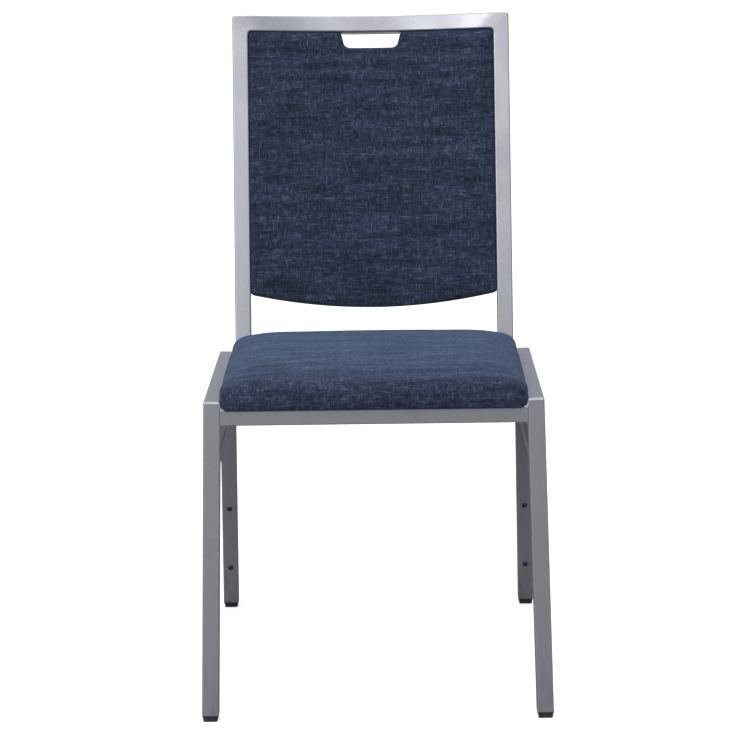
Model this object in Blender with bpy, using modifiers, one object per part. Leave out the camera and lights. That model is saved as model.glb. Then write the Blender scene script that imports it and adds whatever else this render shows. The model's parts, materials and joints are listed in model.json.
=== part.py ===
"""Stacking chair: a welded steel frame of square tube with an upholstered seat and back.

Units are metres. +Z is up, +Y points to the back of the chair and +X is the sitter's left.
The origin is on the floor, at the middle of the footprint.
"""

import math

import bmesh
import bpy
from mathutils import Matrix, Vector

# Clearances and stock
GAP = 0.0003                          # between pieces that touch
TUBE = 0.0222                          # outer width of the frame's square tube
TUBE_WALL = 0.0012
TUBE_CORNER = 0.002
STRETCHER = 0.018                     # outer width of the lighter tube between the legs

# Side frames, each in a plane that leans out from the seat to the floor
RAIL_TOP = 0.4267                     # height of the front corners
RAIL_LENGTH = 0.3833                  # from the front corners back to the rear corners
RAIL_DROP = 0.0113                    # fall of the side rails over that length
SIDE_HALF = 0.2105                     # from the chair's middle to the middle of a side rail
SPLAY = math.radians(1.46)
FRONT_FOOT_REACH = 0.0296             # how far the front feet stand ahead of the front corners
REAR_RAKE = math.radians(17.2)        # of the rear legs, from upright
STRETCHER_DROP = 0.0850               # from the rail's top to the middle of the stretcher

# Back frame
RECLINE = math.radians(11.0)
BACK_FOOT = Vector((0.0, 0.3627, 0.380))   # middle of the uprights' lower ends, on their front face
BACK_HEIGHT = 0.5172                  # along the uprights
TOP_RAIL = 0.0222                     # height of the top rail's section
BACK_HALF_LOW = 0.1988                # half the back's outer width at the seat
BACK_HALF_TOP = 0.1972
BOW = 0.028                           # how far the back curves away from the sitter
BOW_POWER = 1.25                      # above 1, the curve runs out level at the uprights
BACK_SLICES = 16                      # flat steps across the curved back

# Seat, in a frame that follows the slope of the side rails
RAIL_STEP = 0.010                     # cross rails sit this far below the side rails' top
FRONT_RAIL_Y = 0.0097
REAR_RAIL_Y = 0.3525
BOARD_THICKNESS = 0.012
BOARD_HALF = 0.1880
BOARD_FRONT = 0.001
BOARD_REAR = 0.355
COVER = 0.0012                        # upholstery fabric
SEAT_HALF = 0.203
SEAT_FRONT = -0.007
SEAT_REAR = 0.360
SEAT_TOP = 0.033                      # above the side rails
SEAT_FRONT_RADIUS = 0.014
SEAT_REAR_RADIUS = 0.045
SEAT_EDGE = 0.012                     # rounding of the cushion's upper edge
DUST_COVER = 0.0008
SEAT_SCREW_X = 0.150
REAR_SCREW_SHIFT = 0.003              # forward of the rear rail's middle, into the board

# Back pad: layers from the front fabric to the rear fabric, measured from the uprights' front face
PAD_FRONT = -0.003
PAD_FOAM_REAR = 0.0118
PAD_BOARD_THICKNESS = 0.006
STRAP_THICKNESS = 0.003
STRAP_WIDTH = 0.025
REAR_BOARD_THICKNESS = 0.004
PAD_SIDE_GAP = 0.0008
PAD_BOTTOM = 0.0990                   # lowest point of the pad, along the uprights
PAD_SAG = 0.0195                      # how much higher the pad's lower corners are
PAD_CORNER = 0.007
STRAP_HEIGHTS = (0.160, 0.430)
BACK_SCREW_X = 0.120

# Hand hold: a notch in the top of the back, with a steel strip over it, under the rear of the top rail
NOTCH_HALF_TOP = 0.0425
NOTCH_HALF_LOW = 0.0395
NOTCH_DEPTH = 0.0228                  # below the underside of the top rail
NOTCH_CORNER = 0.010
STRIP_HALF = 0.0415
STRIP_FRONT = 0.0105                  # depths behind the uprights' front face
STRIP_REAR = 0.0195
STRIP_HEIGHT = 0.0026

# Small parts
CAP_HEIGHT = 0.0085
CAP_PLUG = 0.014
CAP_TAPER = 0.86
BUMPER_HEIGHTS = (0.1675, 0.0690)
BUMPER_RADIUS = 0.0038
BUMPER_STEM = 0.0017
SCREW_SHANK = 0.0021
TURN_STEPS = 16

UP = Vector((0.0, 0.0, 1.0))
ACROSS = Vector((1.0, 0.0, 0.0))
BACKWARD = Vector((0.0, 1.0, 0.0))
CHAIR_NAME = "stacking_chair"


# ---------------------------------------------------------------- scene

def empty_scene():
    for obj in list(bpy.data.objects):
        bpy.data.objects.remove(obj, do_unlink=True)
    for group in list(bpy.data.collections):
        bpy.data.collections.remove(group)


def new_collection(name):
    group = bpy.data.collections.new(name)
    bpy.context.scene.collection.children.link(group)
    return group


def new_material(name, colour, roughness, metallic):
    material = bpy.data.materials.new(name)
    material.use_nodes = True
    shader = material.node_tree.nodes["Principled BSDF"]
    shader.inputs["Base Color"].default_value = (*colour, 1.0)
    shader.inputs["Roughness"].default_value = roughness
    shader.inputs["Metallic"].default_value = metallic
    return material


def new_empty(name, parent, location=(0, 0, 0), rotation=(0, 0, 0)):
    empty = bpy.data.objects.new(name, None)
    empty.location = location
    empty.rotation_euler = rotation
    empty.parent = parent
    PARTS.objects.link(empty)
    return empty


def new_part(name, mesh, parent, material, smooth=False):
    obj = bpy.data.objects.new(name, mesh)
    obj.parent = parent
    mesh.materials.append(material)
    if smooth:
        mesh.shade_smooth()
        mesh.set_sharp_from_angle(angle=math.radians(35))
    PARTS.objects.link(obj)
    return obj


def new_cutter(name, mesh, parent, matrix):
    obj = bpy.data.objects.new(name, mesh)
    obj.parent = parent
    obj.matrix_basis = matrix
    obj.hide_render = True
    obj.display_type = "WIRE"
    CUTTERS.objects.link(obj)
    return obj


def cut(obj, cutters):
    for cutter in cutters:
        modifier = obj.modifiers.new("hole_" + cutter.name, "BOOLEAN")
        modifier.operation = "DIFFERENCE"
        modifier.solver = "EXACT"
        modifier.object = cutter


# ---------------------------------------------------------------- shapes

def arc(centre, radius, start, end, steps):
    """Points on an arc, with the angles in degrees."""
    points = []
    for i in range(steps + 1):
        angle = math.radians(start + (end - start) * i / steps)
        points.append((centre[0] + radius * math.cos(angle), centre[1] + radius * math.sin(angle)))
    return points


def rounded_rectangle(left, right, low, high, low_radius, high_radius, steps=3):
    """Outline of a rectangle whose two low and two high corners have their own radii."""
    return (
        arc((right - low_radius, low + low_radius), low_radius, -90, 0, steps)
        + arc((right - high_radius, high - high_radius), high_radius, 0, 90, steps)
        + arc((left + high_radius, high - high_radius), high_radius, 90, 180, steps)
        + arc((left + low_radius, low + low_radius), low_radius, 180, 270, steps)
    )


def extruded(name, loops, low, high):
    """A closed mesh of flat outlines in XY, the later ones being holes, between two heights in Z."""
    curve = bpy.data.curves.new(name + "_outline", "CURVE")
    curve.dimensions = "2D"
    curve.fill_mode = "BOTH"
    curve.extrude = (high - low) / 2
    for loop in loops:
        spline = curve.splines.new("POLY")
        spline.points.add(len(loop) - 1)
        for point, place in zip(spline.points, loop):
            point.co = (place[0], place[1], 0.0, 1.0)
        spline.use_cyclic_u = True
    holder = bpy.data.objects.new(name + "_outline", curve)
    CUTTERS.objects.link(holder)
    depsgraph = bpy.context.evaluated_depsgraph_get()
    mesh = bpy.data.meshes.new_from_object(holder.evaluated_get(depsgraph))
    bpy.data.objects.remove(holder)
    mesh.name = name
    mesh.transform(Matrix.Translation((0, 0, (high + low) / 2)))
    clean(mesh)
    return mesh


def clean(mesh):
    """Welds the caps of an extruded outline and turns its faces outwards."""
    bm = bmesh.new()
    bm.from_mesh(mesh)
    bmesh.ops.remove_doubles(bm, verts=bm.verts, dist=1e-6)
    bmesh.ops.recalc_face_normals(bm, faces=bm.faces)
    bm.to_mesh(mesh)
    bm.free()


def slice_across(mesh, half, count, axis=ACROSS):
    """Adds edges at even steps along an axis, so that the mesh can be bent."""
    bm = bmesh.new()
    bm.from_mesh(mesh)
    bmesh.ops.dissolve_limit(bm, angle_limit=0.002, verts=bm.verts, edges=bm.edges)
    for i in range(1, count):
        place = axis * (half * (2 * i / count - 1))
        everything = bm.verts[:] + bm.edges[:] + bm.faces[:]
        bmesh.ops.bisect_plane(bm, geom=everything, dist=1e-6, plane_co=place, plane_no=axis)
    bm.to_mesh(mesh)
    bm.free()


def without_faces(mesh, unwanted):
    """Deletes the faces for which unwanted(face) is true, leaving the surface open there."""
    bm = bmesh.new()
    bm.from_mesh(mesh)
    gone = [face for face in bm.faces if unwanted(face)]
    bmesh.ops.delete(bm, geom=gone, context="FACES")
    bm.to_mesh(mesh)
    bm.free()


def thicken_outwards(obj, thickness):
    solidify = obj.modifiers.new("fabric", "SOLIDIFY")
    solidify.thickness = thickness
    solidify.offset = 1.0
    solidify.use_even_offset = True


def turned(name, profile):
    """A solid turned about Z from a profile of (radius, height) that runs from the top to the bottom."""
    mesh = bpy.data.meshes.new(name)
    points = [(radius, 0.0, height) for radius, height in profile]
    mesh.from_pydata(points, [(i, i + 1) for i in range(len(points) - 1)], [])
    holder = bpy.data.objects.new(name + "_profile", mesh)
    CUTTERS.objects.link(holder)
    screw = holder.modifiers.new("turn", "SCREW")
    screw.steps = TURN_STEPS
    screw.render_steps = TURN_STEPS
    screw.use_merge_vertices = True
    screw.merge_threshold = 1e-5
    depsgraph = bpy.context.evaluated_depsgraph_get()
    result = bpy.data.meshes.new_from_object(holder.evaluated_get(depsgraph))
    result.name = name
    bpy.data.objects.remove(holder)
    return result


def frame_on(start, end, side):
    """A matrix whose Z runs from start to end and whose X is side."""
    axis = (end - start).normalized()
    third = axis.cross(side).normalized()
    across = third.cross(axis)
    matrix = Matrix((across, third, axis)).transposed().to_4x4()
    matrix.translation = start
    return matrix


def slide_to_plane(vertex, point, normal, clearance):
    """Moves a vertex along Z onto a plane, and past it by the clearance."""
    rise = (point.x - vertex.co.x) * normal.x + (point.y - vertex.co.y) * normal.y
    vertex.co.z = point.z + rise / normal.z + clearance


def tube(name, start, end, side, start_normal, end_normal, width=TUBE, height=TUBE, slices=0):
    """A hollow tube from start to end, its ends cut along planes with the given normals.

    Returns its mesh and the matrix that places it. Half of GAP is left at each end.
    """
    matrix = frame_on(start, end, side)
    into_tube = matrix.to_3x3().inverted()
    across = width / 2
    up = height / 2
    outer_loop = rounded_rectangle(-across, across, -up, up, TUBE_CORNER, TUBE_CORNER)
    across -= TUBE_WALL
    up -= TUBE_WALL
    inner_corner = TUBE_CORNER - TUBE_WALL
    inner_loop = rounded_rectangle(-across, across, -up, up, inner_corner, inner_corner, 2)
    length = (end - start).length
    mesh = extruded(name, [outer_loop, inner_loop], 0.0, length)
    for vertex in mesh.vertices:
        if vertex.co.z < length / 2:
            slide_to_plane(vertex, Vector(), into_tube @ start_normal, GAP / 2)
        else:
            slide_to_plane(vertex, UP * length, into_tube @ end_normal, -GAP / 2)
    if slices:
        mesh.transform(Matrix.Translation((0, 0, -length / 2)))
        slice_across(mesh, length / 2, slices, UP)
        mesh.transform(Matrix.Translation((0, 0, length / 2)))
    return mesh, matrix


def meet(point_a, along_a, point_b, along_b):
    """Where two lines in a YZ plane cross."""
    offset = point_b - point_a
    cross = along_a.y * along_b.z - along_a.z * along_b.y
    step = (offset.y * along_b.z - offset.z * along_b.y) / cross
    return point_a + along_a * step


def turned_left(direction):
    """A direction in a YZ plane, turned by a quarter."""
    return Vector((0.0, -direction.z, direction.y))


# ---------------------------------------------------------------- side frames

def side_frame(side, name):
    """The legs, side rail and stretcher of one side, with their feet and bumpers. side is +1 or -1."""
    plane = new_empty("side_frame_" + name, CHAIR, (side * SIDE_HALF, 0, RAIL_TOP), (0, -side * SPLAY, 0))
    to_plane = plane.matrix_basis.inverted()
    floor = RAIL_TOP / math.cos(SPLAY)
    floor_normal = to_plane.to_3x3() @ UP

    front_corner = Vector((0, 0, 0))
    rear_corner = Vector((0, RAIL_LENGTH, -RAIL_DROP))
    front_down = Vector((0, -FRONT_FOOT_REACH, -floor)).normalized()
    rear_down = Vector((0, math.sin(REAR_RAKE), -math.cos(REAR_RAKE)))
    back_along = (rear_corner - front_corner).normalized()
    front_inward = turned_left(front_down)
    rail_inward = -turned_left(back_along)
    rear_inward = -turned_left(rear_down)

    half = TUBE / 2
    front_line = front_corner + front_inward * half
    rail_line = front_corner + rail_inward * half
    rear_line = rear_corner + rear_inward * half
    front_joint = meet(front_line, front_down, rail_line, back_along)
    rear_joint = meet(rear_line, rear_down, rail_line, back_along)
    front_mitre = turned_left(front_corner - front_joint)
    rear_mitre = turned_left(rear_corner - rear_joint)
    tube_end = to_plane @ Vector((side * SIDE_HALF, 0, CAP_HEIGHT + GAP / 2))
    front_foot = meet(front_line, front_down, tube_end, BACKWARD)
    rear_foot = meet(rear_line, rear_down, tube_end, BACKWARD)

    pieces = {
        "front_leg_": (front_foot, front_joint, floor_normal, front_mitre),
        "side_rail_": (front_joint, rear_joint, front_mitre, rear_mitre),
        "rear_leg_": (rear_foot, rear_joint, floor_normal, rear_mitre),
    }
    made = {}
    for stem, (start, end, start_normal, end_normal) in pieces.items():
        mesh, matrix = tube(stem + name, start, end, ACROSS, start_normal, end_normal)
        made[stem] = new_part(stem + name, mesh, plane, POWDER_COAT, smooth=True)
        made[stem].matrix_basis = matrix

    middle = rail_line + rail_inward * (STRETCHER_DROP - half)
    start = meet(middle, back_along, front_line + front_inward * half, front_down)
    end = meet(middle, back_along, rear_line + rear_inward * half, rear_down)
    mesh, matrix = tube(
        "side_stretcher_" + name, start, end, ACROSS, front_inward, rear_inward, STRETCHER, STRETCHER
    )
    stretcher = new_part("side_stretcher_" + name, mesh, plane, POWDER_COAT, smooth=True)
    stretcher.matrix_basis = matrix

    foot_cap("foot_cap_front_" + name, plane, front_foot, front_down)
    foot_cap("foot_cap_rear_" + name, plane, rear_foot, rear_down)
    for height, level in zip(BUMPER_HEIGHTS, ("upper", "lower")):
        level_line = Vector((0, 0, height - RAIL_TOP))
        place = meet(rear_line + rear_inward * half, rear_down, level_line, BACKWARD)
        bumper("stack_bumper_" + level + "_" + name, plane, place, rear_inward, made["rear_leg_"])


def foot_cap(name, plane, tube_foot, down):
    """A plastic cap whose plug sits in the tube and whose tapered base carries the chair.

    tube_foot and down are the end and the direction of the leg, in the plane of the side frame.
    """
    foot = plane.matrix_basis @ tube_foot
    along = plane.matrix_basis.to_3x3() @ -down
    lean = Vector((along.x / along.z, along.y / along.z))
    half = TUBE / 2
    plug_half = half - TUBE_WALL - GAP
    depth = half * math.hypot(1.0, lean.y)
    base = rounded_rectangle(-half, half, -depth, depth, TUBE_CORNER, TUBE_CORNER)
    mesh = extruded(name, [base], 0.0, CAP_HEIGHT)
    bm = bmesh.new()
    bm.from_mesh(mesh)
    bmesh.ops.dissolve_limit(bm, angle_limit=0.01, verts=bm.verts, edges=bm.edges)
    top = max(bm.faces, key=lambda face: face.calc_center_median().z)
    bottom = min(bm.faces, key=lambda face: face.calc_center_median().z)
    for vertex in bottom.verts:
        vertex.co.x *= CAP_TAPER
        vertex.co.y *= CAP_TAPER
    bmesh.ops.inset_region(bm, faces=[top], thickness=half - plug_half, use_even_offset=True)
    plug = bmesh.ops.extrude_face_region(bm, geom=[top])
    raised = [item for item in plug["geom"] if isinstance(item, bmesh.types.BMVert)]
    bmesh.ops.delete(bm, geom=[top], context="FACES_ONLY")
    bmesh.ops.translate(bm, verts=raised, vec=(0, 0, CAP_PLUG))
    for vertex in bm.verts:
        vertex.co.x += lean.x * vertex.co.z
        vertex.co.y += lean.y * vertex.co.z
    bmesh.ops.recalc_face_normals(bm, faces=bm.faces)
    bm.to_mesh(mesh)
    bm.free()
    cap = new_part(name, mesh, CHAIR, CAP_PLASTIC)
    cap.location = (foot.x - lean.x * foot.z, foot.y - lean.y * foot.z, 0.0)


def bumper(name, plane, place, outward, leg):
    """A push-in dome on the front of a rear leg, which keeps stacked frames from rubbing."""
    dome = arc((0, 0), BUMPER_RADIUS, 90, 0, 6)
    flat = 0.65
    profile = [(x, GAP + z * flat) for x, z in dome]
    profile[0] = (0.0, profile[0][1])
    profile += [(BUMPER_STEM, GAP), (BUMPER_STEM, -0.004), (0.0, -0.0045)]
    stem = turned(name, profile)
    aim = frame_on(place, place + outward, ACROSS)
    part = new_part(name, stem, plane, BUMPER_PLASTIC, smooth=True)
    part.matrix_basis = aim
    radius = BUMPER_STEM + GAP
    hole = turned(name + "_hole", [(0, 0.004), (radius, 0.004), (radius, -0.006), (0, -0.006)])
    cut(leg, [new_cutter(name + "_hole", hole, plane, aim)])


# ---------------------------------------------------------------- back frame

def bowed(x):
    """How far the back curves away from the sitter at a distance from its middle."""
    share = min(abs(x) / (BACK_HALF_TOP - TUBE), 1.0)
    return BOW * (1.0 - share * share) ** BOW_POWER


def bow_slope(x, step=0.001):
    return math.atan((bowed(x + step) - bowed(x - step)) / (2 * step))


def bend(mesh):
    """Curves a mesh of the back, which lies in XZ, towards +Y."""
    for vertex in mesh.vertices:
        vertex.co.y += bowed(vertex.co.x)


def back_half(height):
    """Half the back's outer width at a height along the uprights."""
    return BACK_HALF_LOW + (BACK_HALF_TOP - BACK_HALF_LOW) * height / BACK_HEIGHT


def back_frame():
    half = TUBE / 2
    rail_height = BACK_HEIGHT - TOP_RAIL / 2
    reach = back_half(rail_height) - half
    for side, name in SIDES:
        low = Vector((side * (BACK_HALF_LOW - half), half, 0))
        high = Vector((side * reach, half, rail_height))
        mitre = Vector((TOP_RAIL, 0, -side * TUBE))
        mesh, matrix = tube("back_upright_" + name, low, high, ACROSS, UP, mitre)
        upright = new_part("back_upright_" + name, mesh, BACK, POWDER_COAT, smooth=True)
        upright.matrix_basis = matrix

    right = Vector((-reach, half, rail_height))
    left = Vector((reach, half, rail_height))
    right_mitre = Vector((TOP_RAIL, 0, TUBE))
    left_mitre = Vector((TOP_RAIL, 0, -TUBE))
    mesh, matrix = tube(
        "top_rail", right, left, BACKWARD, right_mitre, left_mitre, height=TOP_RAIL, slices=BACK_SLICES
    )
    mesh.transform(matrix)
    bend(mesh)
    new_part("top_rail", mesh, BACK, POWDER_COAT, smooth=True)


# ---------------------------------------------------------------- back pad

def pad_outline(inset):
    """Outline of the back pad, with its hand hold and sagging lower edge, drawn in from the full size."""
    top = BACK_HEIGHT - TOP_RAIL - GAP - inset
    corner = PAD_CORNER
    half_top = back_half(top) - TUBE - PAD_SIDE_GAP - inset
    half_low = back_half(PAD_BOTTOM) - TUBE - PAD_SIDE_GAP - inset
    notch_floor = BACK_HEIGHT - TOP_RAIL - NOTCH_DEPTH - inset
    notch_top = NOTCH_HALF_TOP + inset
    notch_low = NOTCH_HALF_LOW + inset

    right_half = [(notch_low - NOTCH_CORNER, notch_floor)]
    right_half += arc((notch_low - NOTCH_CORNER, notch_floor + NOTCH_CORNER), NOTCH_CORNER, -90, 0, 4)[1:]
    right_half += [(notch_top, top)]
    right_half += arc((half_top - corner, top - corner), corner, 90, 0, 4)
    steps = 12
    for i in range(steps):
        x = half_low * (1 - i / steps)
        sag = PAD_SAG * (x / half_low) ** 2
        right_half.append((x, PAD_BOTTOM + inset + sag))
    mirrored = [(-x, z) for x, z in reversed(right_half)]
    return right_half + [(0.0, PAD_BOTTOM + inset)] + mirrored


def pad_slab(name, outline, front, rear):
    """A slab of the back, between two depths behind the uprights' front face."""
    mesh = extruded(name, [outline], -rear, -front)
    mesh.transform(Matrix.Rotation(math.radians(90), 4, "X"))
    slice_across(mesh, BACK_HALF_TOP, BACK_SLICES)
    return mesh


def facing(direction):
    return lambda face: face.normal.dot(direction) > 0.99


def back_pad():
    inner = pad_outline(COVER + GAP)
    skin = pad_outline(COVER)
    board_front = PAD_FOAM_REAR + GAP
    board_rear = board_front + PAD_BOARD_THICKNESS
    strap_front = board_rear + GAP
    strap_rear = strap_front + STRAP_THICKNESS
    panel_front = strap_rear + GAP
    panel_rear = panel_front + REAR_BOARD_THICKNESS

    foam = pad_slab("back_foam", inner, PAD_FRONT + COVER + GAP, PAD_FOAM_REAR)
    bend(foam)
    new_part("back_foam", foam, BACK, FOAM)

    board = pad_slab("back_board", inner, board_front, board_rear)
    bend(board)
    back_board = new_part("back_board", board, BACK, PLYWOOD)

    panel = pad_slab("back_rear_board", inner, panel_front, panel_rear)
    bend(panel)
    rear_board = new_part("back_rear_board", panel, BACK, PLYWOOD)

    front_skin = pad_slab("back_cover_front", skin, PAD_FRONT + COVER, board_rear)
    without_faces(front_skin, facing(BACKWARD))
    bend(front_skin)
    thicken_outwards(new_part("back_cover_front", front_skin, BACK, FABRIC), COVER)

    rear_skin = pad_slab("back_cover_rear", skin, panel_front, panel_rear + GAP)
    without_faces(rear_skin, facing(-BACKWARD))
    bend(rear_skin)
    thicken_outwards(new_part("back_cover_rear", rear_skin, BACK, FABRIC), COVER)

    for height, level in zip(STRAP_HEIGHTS, ("lower", "upper")):
        reach = back_half(height + STRAP_WIDTH) - TUBE - GAP
        low = height - STRAP_WIDTH / 2
        outline = rounded_rectangle(-reach, reach, low, low + STRAP_WIDTH, GAP, GAP, 1)
        mesh = pad_slab("back_strap_" + level, outline, strap_front, strap_rear)
        bend(mesh)
        strap = new_part("back_strap_" + level, mesh, BACK, POWDER_COAT)
        clamped = (rear_board, strap, back_board)
        for side, name in SIDES:
            back_screw(level + "_" + name, side * BACK_SCREW_X, height, panel_rear, clamped)


def grip_strip():
    """The steel strip that is welded under the rear of the top rail, over the hand hold."""
    high = BACK_HEIGHT - TOP_RAIL - GAP
    eased = 0.0004
    outline = rounded_rectangle(-STRIP_HALF, STRIP_HALF, high - STRIP_HEIGHT, high, eased, eased, 1)
    mesh = pad_slab("grip_strip", outline, STRIP_FRONT, STRIP_REAR)
    bend(mesh)
    new_part("grip_strip", mesh, BACK, POWDER_COAT)


def back_screw(suffix, x, height, panel_rear, clamped):
    """A countersunk screw that clamps the rear board and a strap to the front board."""
    length = 0.0120
    head_depth = 0.0024
    head = 0.0042
    profile = [(0, length), (SCREW_SHANK, length - 0.001), (SCREW_SHANK, head_depth), (head, 0), (0, 0)]
    turn = Matrix.Rotation(bow_slope(x), 4, "Z") @ Matrix.Rotation(math.radians(90), 4, "X")
    place = Matrix.Translation((x, panel_rear - GAP + bowed(x), height)) @ turn
    mesh = turned("back_screw_" + suffix, profile)
    screw = new_part("back_screw_" + suffix, mesh, BACK, ZINC, smooth=True)
    screw.matrix_basis = place

    wide = SCREW_SHANK + GAP
    rim = head + GAP
    outside = -0.004
    end = length + GAP
    bore = [(0, end), (wide, end), (wide, head_depth), (rim, 0), (rim, outside), (0, outside)]
    cutter = new_cutter("back_screw_hole_" + suffix, turned("back_screw_hole_" + suffix, bore), BACK, place)
    for piece in clamped:
        cut(piece, [cutter])


# ---------------------------------------------------------------- seat

def cross_rail(name, y):
    """A tube across the seat frame, its ends cut to the lean of the side frames."""
    z = -RAIL_STEP - TUBE / 2
    ends = []
    normals = []
    into_seat = SEAT.matrix_basis.inverted()
    for side in (-1, 1):
        plane = Matrix.Translation((side * SIDE_HALF, 0, RAIL_TOP)) @ Matrix.Rotation(-side * SPLAY, 4, "Y")
        to_seat = into_seat @ plane
        face = to_seat @ Vector((-side * TUBE / 2, 0, 0))
        normal = to_seat.to_3x3() @ ACROSS
        reach = face.x - ((y - face.y) * normal.y + (z - face.z) * normal.z) / normal.x
        ends.append(Vector((reach, y, z)))
        normals.append(normal)
    mesh, matrix = tube(name, ends[0], ends[1], BACKWARD, normals[0], normals[1])
    rail = new_part(name, mesh, SEAT, POWDER_COAT, smooth=True)
    rail.matrix_basis = matrix
    return rail


def cushion_mesh(name, inset, low, high):
    """A block with the cushion's plan, drawn in from the full size, and a rounded upper edge."""
    front_radius = SEAT_FRONT_RADIUS - inset
    rear_radius = SEAT_REAR_RADIUS - inset
    half = SEAT_HALF - inset
    front = SEAT_FRONT + inset
    rear = SEAT_REAR - inset
    outline = rounded_rectangle(-half, half, front, rear, front_radius, rear_radius, 6)
    mesh = extruded(name, [outline], low, high)
    bm = bmesh.new()
    bm.from_mesh(mesh)
    bmesh.ops.dissolve_limit(bm, angle_limit=0.01, verts=bm.verts, edges=bm.edges)
    top = max(bm.faces, key=lambda face: face.calc_center_median().z)
    rounding = SEAT_EDGE - inset
    bmesh.ops.bevel(
        bm, geom=top.edges[:], offset=rounding, segments=4, profile=0.5, affect="EDGES", clamp_overlap=True
    )
    bm.to_mesh(mesh)
    bm.free()
    return mesh


def seat():
    front_rail = cross_rail("front_rail", FRONT_RAIL_Y)
    rear_rail = cross_rail("rear_rail", REAR_RAIL_Y)

    board_low = -RAIL_STEP + GAP
    board_high = board_low + BOARD_THICKNESS
    outline = rounded_rectangle(-BOARD_HALF, BOARD_HALF, BOARD_FRONT, BOARD_REAR, 0.010, 0.040, 6)
    board = new_part("seat_board", extruded("seat_board", [outline], board_low, board_high), SEAT, PLYWOOD)

    foam_low = board_high + GAP
    foam = cushion_mesh("seat_foam", COVER + GAP, foam_low, SEAT_TOP - COVER - GAP)
    new_part("seat_foam", foam, SEAT, FOAM)

    skin = cushion_mesh("seat_cover", COVER, foam_low, SEAT_TOP - COVER)
    without_faces(skin, facing(-UP))
    thicken_outwards(new_part("seat_cover", skin, SEAT, FABRIC), COVER)

    margin = 0.0015
    cloth_front = FRONT_RAIL_Y + TUBE / 2 + margin
    cloth_rear = REAR_RAIL_Y - TUBE / 2 - margin
    outline = rounded_rectangle(-BOARD_HALF, BOARD_HALF, cloth_front, cloth_rear, 0.006, 0.006)
    cloth_high = board_low - GAP
    cloth = extruded("seat_dust_cover", [outline], cloth_high - DUST_COVER, cloth_high)
    new_part("seat_dust_cover", cloth, SEAT, BLACK_CLOTH)

    rear_screw_y = REAR_RAIL_Y - REAR_SCREW_SHIFT
    for y, rail, end_name in ((FRONT_RAIL_Y, front_rail, "front"), (rear_screw_y, rear_rail, "rear")):
        for side, name in SIDES:
            seat_screw(end_name + "_" + name, side * SEAT_SCREW_X, y, rail, board)


def seat_screw(suffix, x, y, rail, board):
    """A pan-headed screw inside a cross rail, up into the seat board, and the hole to reach it by."""
    head = 0.0045
    head_height = 0.0024
    grip = TUBE_WALL + GAP
    tip = grip + 0.009
    access = 0.0054
    place = Matrix.Translation((x, y, -RAIL_STEP - TUBE_WALL - GAP))
    profile = [(0, tip), (SCREW_SHANK, tip - 0.001), (SCREW_SHANK, 0), (head, 0)]
    profile += [(head, -head_height / 2), (head * 0.7, -head_height), (0, -head_height)]
    turned_screw = turned("seat_screw_" + suffix, profile)
    screw = new_part("seat_screw_" + suffix, turned_screw, SEAT, ZINC, smooth=True)
    screw.matrix_basis = place

    wide = SCREW_SHANK + GAP
    end = tip + GAP
    bore = turned("seat_screw_hole_" + suffix, [(0, end), (wide, end), (wide, -0.004), (0, -0.004)])
    cutter = new_cutter("seat_screw_hole_" + suffix, bore, SEAT, place)
    low = -TUBE - GAP
    entry = turned("seat_access_hole_" + suffix, [(0, -0.010), (access, -0.010), (access, low), (0, low)])
    cut(rail, [cutter, new_cutter("seat_access_hole_" + suffix, entry, SEAT, place)])
    cut(board, [cutter])


# ---------------------------------------------------------------- assembly

empty_scene()
PARTS = new_collection(CHAIR_NAME)
CUTTERS = new_collection("cutters")
SIDES = ((1, "left"), (-1, "right"))

POWDER_COAT = new_material("silver_powder_coat", (0.36, 0.36, 0.40), 0.42, 0.6)
FABRIC = new_material("navy_fabric", (0.035, 0.050, 0.095), 0.9, 0.0)
FOAM = new_material("foam", (0.75, 0.70, 0.52), 0.95, 0.0)
PLYWOOD = new_material("plywood", (0.52, 0.36, 0.20), 0.7, 0.0)
BLACK_CLOTH = new_material("black_dust_cloth", (0.02, 0.02, 0.02), 0.95, 0.0)
CAP_PLASTIC = new_material("black_plastic", (0.03, 0.03, 0.033), 0.5, 0.0)
BUMPER_PLASTIC = new_material("navy_plastic", (0.02, 0.03, 0.08), 0.4, 0.0)
ZINC = new_material("zinc_plated_steel", (0.62, 0.62, 0.60), 0.35, 1.0)

rear_foot_y = RAIL_LENGTH + (RAIL_TOP - RAIL_DROP) * math.tan(REAR_RAKE)
middle_y = (rear_foot_y - FRONT_FOOT_REACH) / 2
CHAIR = new_empty(CHAIR_NAME, None, (0, -middle_y, 0))
SEAT = new_empty("seat_frame", CHAIR, (0, 0, RAIL_TOP), (-math.atan(RAIL_DROP / RAIL_LENGTH), 0, 0))
BACK = new_empty("back_frame", CHAIR, BACK_FOOT, (-RECLINE, 0, 0))
bpy.context.view_layer.update()

for side_sign, side_name in SIDES:
    side_frame(side_sign, side_name)
back_frame()
grip_strip()
back_pad()
seat()
bpy.context.view_layer.update()
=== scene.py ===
import json
import math

import bmesh
import bpy
from mathutils import Matrix, Vector, noise


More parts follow.
